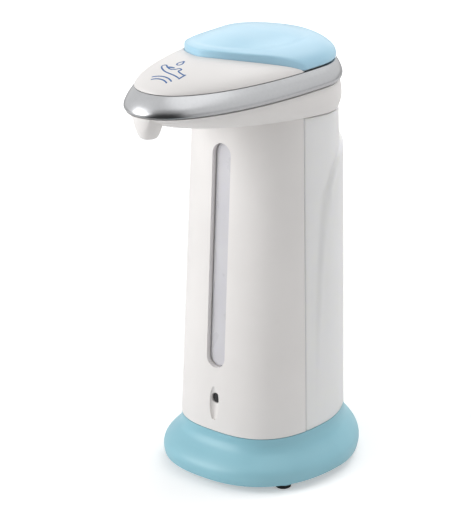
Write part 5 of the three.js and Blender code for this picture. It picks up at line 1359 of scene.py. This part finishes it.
def make_dark_card():
    """A dark card, upright beyond the camera and along the floor before it, that only reflections see.

    It gives the trim band its dark lower side.
    """
    material, tree = empty_material("black_card")
    card_black = add_node(tree, "BsdfDiffuse", {"Color": linear(CARD_BLACK)})
    add_node(tree, "OutputMaterial", links={"Surface": card_black.outputs["BSDF"]})
    left = direction(CARD_LEFT, 0)
    right = direction(CARD_RIGHT, 0)
    corners = [
        (CARD_DISTANCE * left.x, CARD_DISTANCE * left.y, 0),
        (CARD_DISTANCE * right.x, CARD_DISTANCE * right.y, 0),
        (CARD_DISTANCE * right.x, CARD_DISTANCE * right.y, CARD_HEIGHT),
        (CARD_DISTANCE * left.x, CARD_DISTANCE * left.y, CARD_HEIGHT),
        (CARD_NEAR * left.x, CARD_NEAR * left.y, GAP),
        (CARD_NEAR * right.x, CARD_NEAR * right.y, GAP),
    ]
    card = make_object("black_card", corners, [(0, 1, 2, 3), (4, 5, 1, 0)])
    card.data.materials.append(material)
    card.visible_camera = False
    card.visible_diffuse = False
    card.visible_shadow = False


FLOOR_REACH = 3000
PAPER_WHITE = "F2F2F2"
CARD_BLACK = "303032"

# Strength of the floor's glow, near the object and far from it, at distances in metres
FLOOR_LIFT = 0.36
FAR_LIFT = 0.8
SHADOW_REACH = 0.2
WHITE_REACH = 0.7
MIRRORED_LIFT = 0.1

# Directions of the card's ends in degrees round the object, and its distances and height
CARD_LEFT = -26
CARD_RIGHT = 62
CARD_DISTANCE = 1200
CARD_NEAR = 90
CARD_HEIGHT = 1050
make_floor()


# Light: a pale room, and soft lamps in front to the left, above and behind
def make_world():
    """An even room: white to the camera, a little less so in mirrors, and a dim source of light."""
    world = bpy.data.worlds.new("pale_room")
    bpy.context.scene.world = world
    world.use_nodes = True
    tree = world.node_tree
    background = tree.nodes["Background"]
    background.inputs["Color"].default_value = (1, 1, 1, 1)
    direct, mirrored = ray_kinds(tree)
    indirect = add_node(
        tree, "MapRange", {"To Min": ROOM_STRENGTH, "To Max": MIRRORED_ROOM}, {"Value": mirrored})
    strength = add_node(
        tree, "MapRange", {"To Max": 1.0}, {"Value": direct, "To Min": indirect.outputs["Result"]})
    tree.links.new(strength.outputs["Result"], background.inputs["Strength"])


def place_facing(name, data, turn, lift, distance):
    """A lamp or camera that faces the dispenser from a direction given in degrees round it."""
    made = bpy.data.objects.new(name, data)
    bpy.context.scene.collection.objects.link(made)
    made.location = AIM + distance * direction(turn, lift)
    made.rotation_euler = direction(turn, lift).to_track_quat("Z", "Y").to_euler()
    return made


def make_lamp(name, turn, lift, distance, size, power):
    """A soft lamp, with its width and height in metres and its power in watts."""
    lamp = bpy.data.lights.new(name, "AREA")
    lamp.shape = "RECTANGLE"
    lamp.size, lamp.size_y = size
    lamp.energy = power
    return place_facing(name, lamp, turn, lift, distance)


def direction(turn, lift):
    """A unit direction: turn in degrees from the front towards +X, and lift above the floor."""
    turn, lift = math.radians(turn), math.radians(lift)
    return Vector((math.sin(turn) * math.cos(lift), -math.cos(turn) * math.cos(lift), math.sin(lift)))


AIM = Vector((-5.3, SHIFT_Y - 15.25, 90.8)) * MM
ROOM_STRENGTH = 0.275
MIRRORED_ROOM = 0.9
LAMP_DISTANCE = 0.95
NEAR_LAMP_DISTANCE = 0.5
make_dark_card()
make_world()
make_lamp("front_left_softbox", -33, 22, LAMP_DISTANCE, (0.65, 0.65), 5.6)
make_lamp("rear_overhead_softbox", 175, 53, LAMP_DISTANCE, (0.65, 0.65), 3.1)
make_lamp("near_overhead_softbox", 80, 66, NEAR_LAMP_DISTANCE, (0.4, 0.4), 0.3)
make_lamp("rear_left_softbox", -150, 30, LAMP_DISTANCE, (0.65, 0.65), 0.85)
rear_right = make_lamp("rear_right_softbox", 118, 18, LAMP_DISTANCE, (0.9, 0.6), 1.6)

# The band in the photograph mirrors no lamp here, so this one lights the object unseen
rear_right.visible_glossy = False


# Camera: where the photographer stood, fitted to the photograph's outlines
def make_camera():
    camera = bpy.data.cameras.new("camera")
    camera.sensor_fit = "VERTICAL"
    camera.sensor_height = CAMERA_SENSOR
    camera.lens = CAMERA_LENS
    camera.clip_end = CAMERA_REACH
    bpy.context.scene.camera = place_facing("camera", camera, CAMERA_TURN, CAMERA_LIFT, CAMERA_DISTANCE)


CAMERA_TURN = 39.0
CAMERA_LIFT = 20.23
CAMERA_DISTANCE = 0.86868
CAMERA_LENS = 146.71
CAMERA_SENSOR = 36
CAMERA_REACH = 20
make_camera()

bpy.context.scene.view_settings.view_transform = "Standard"
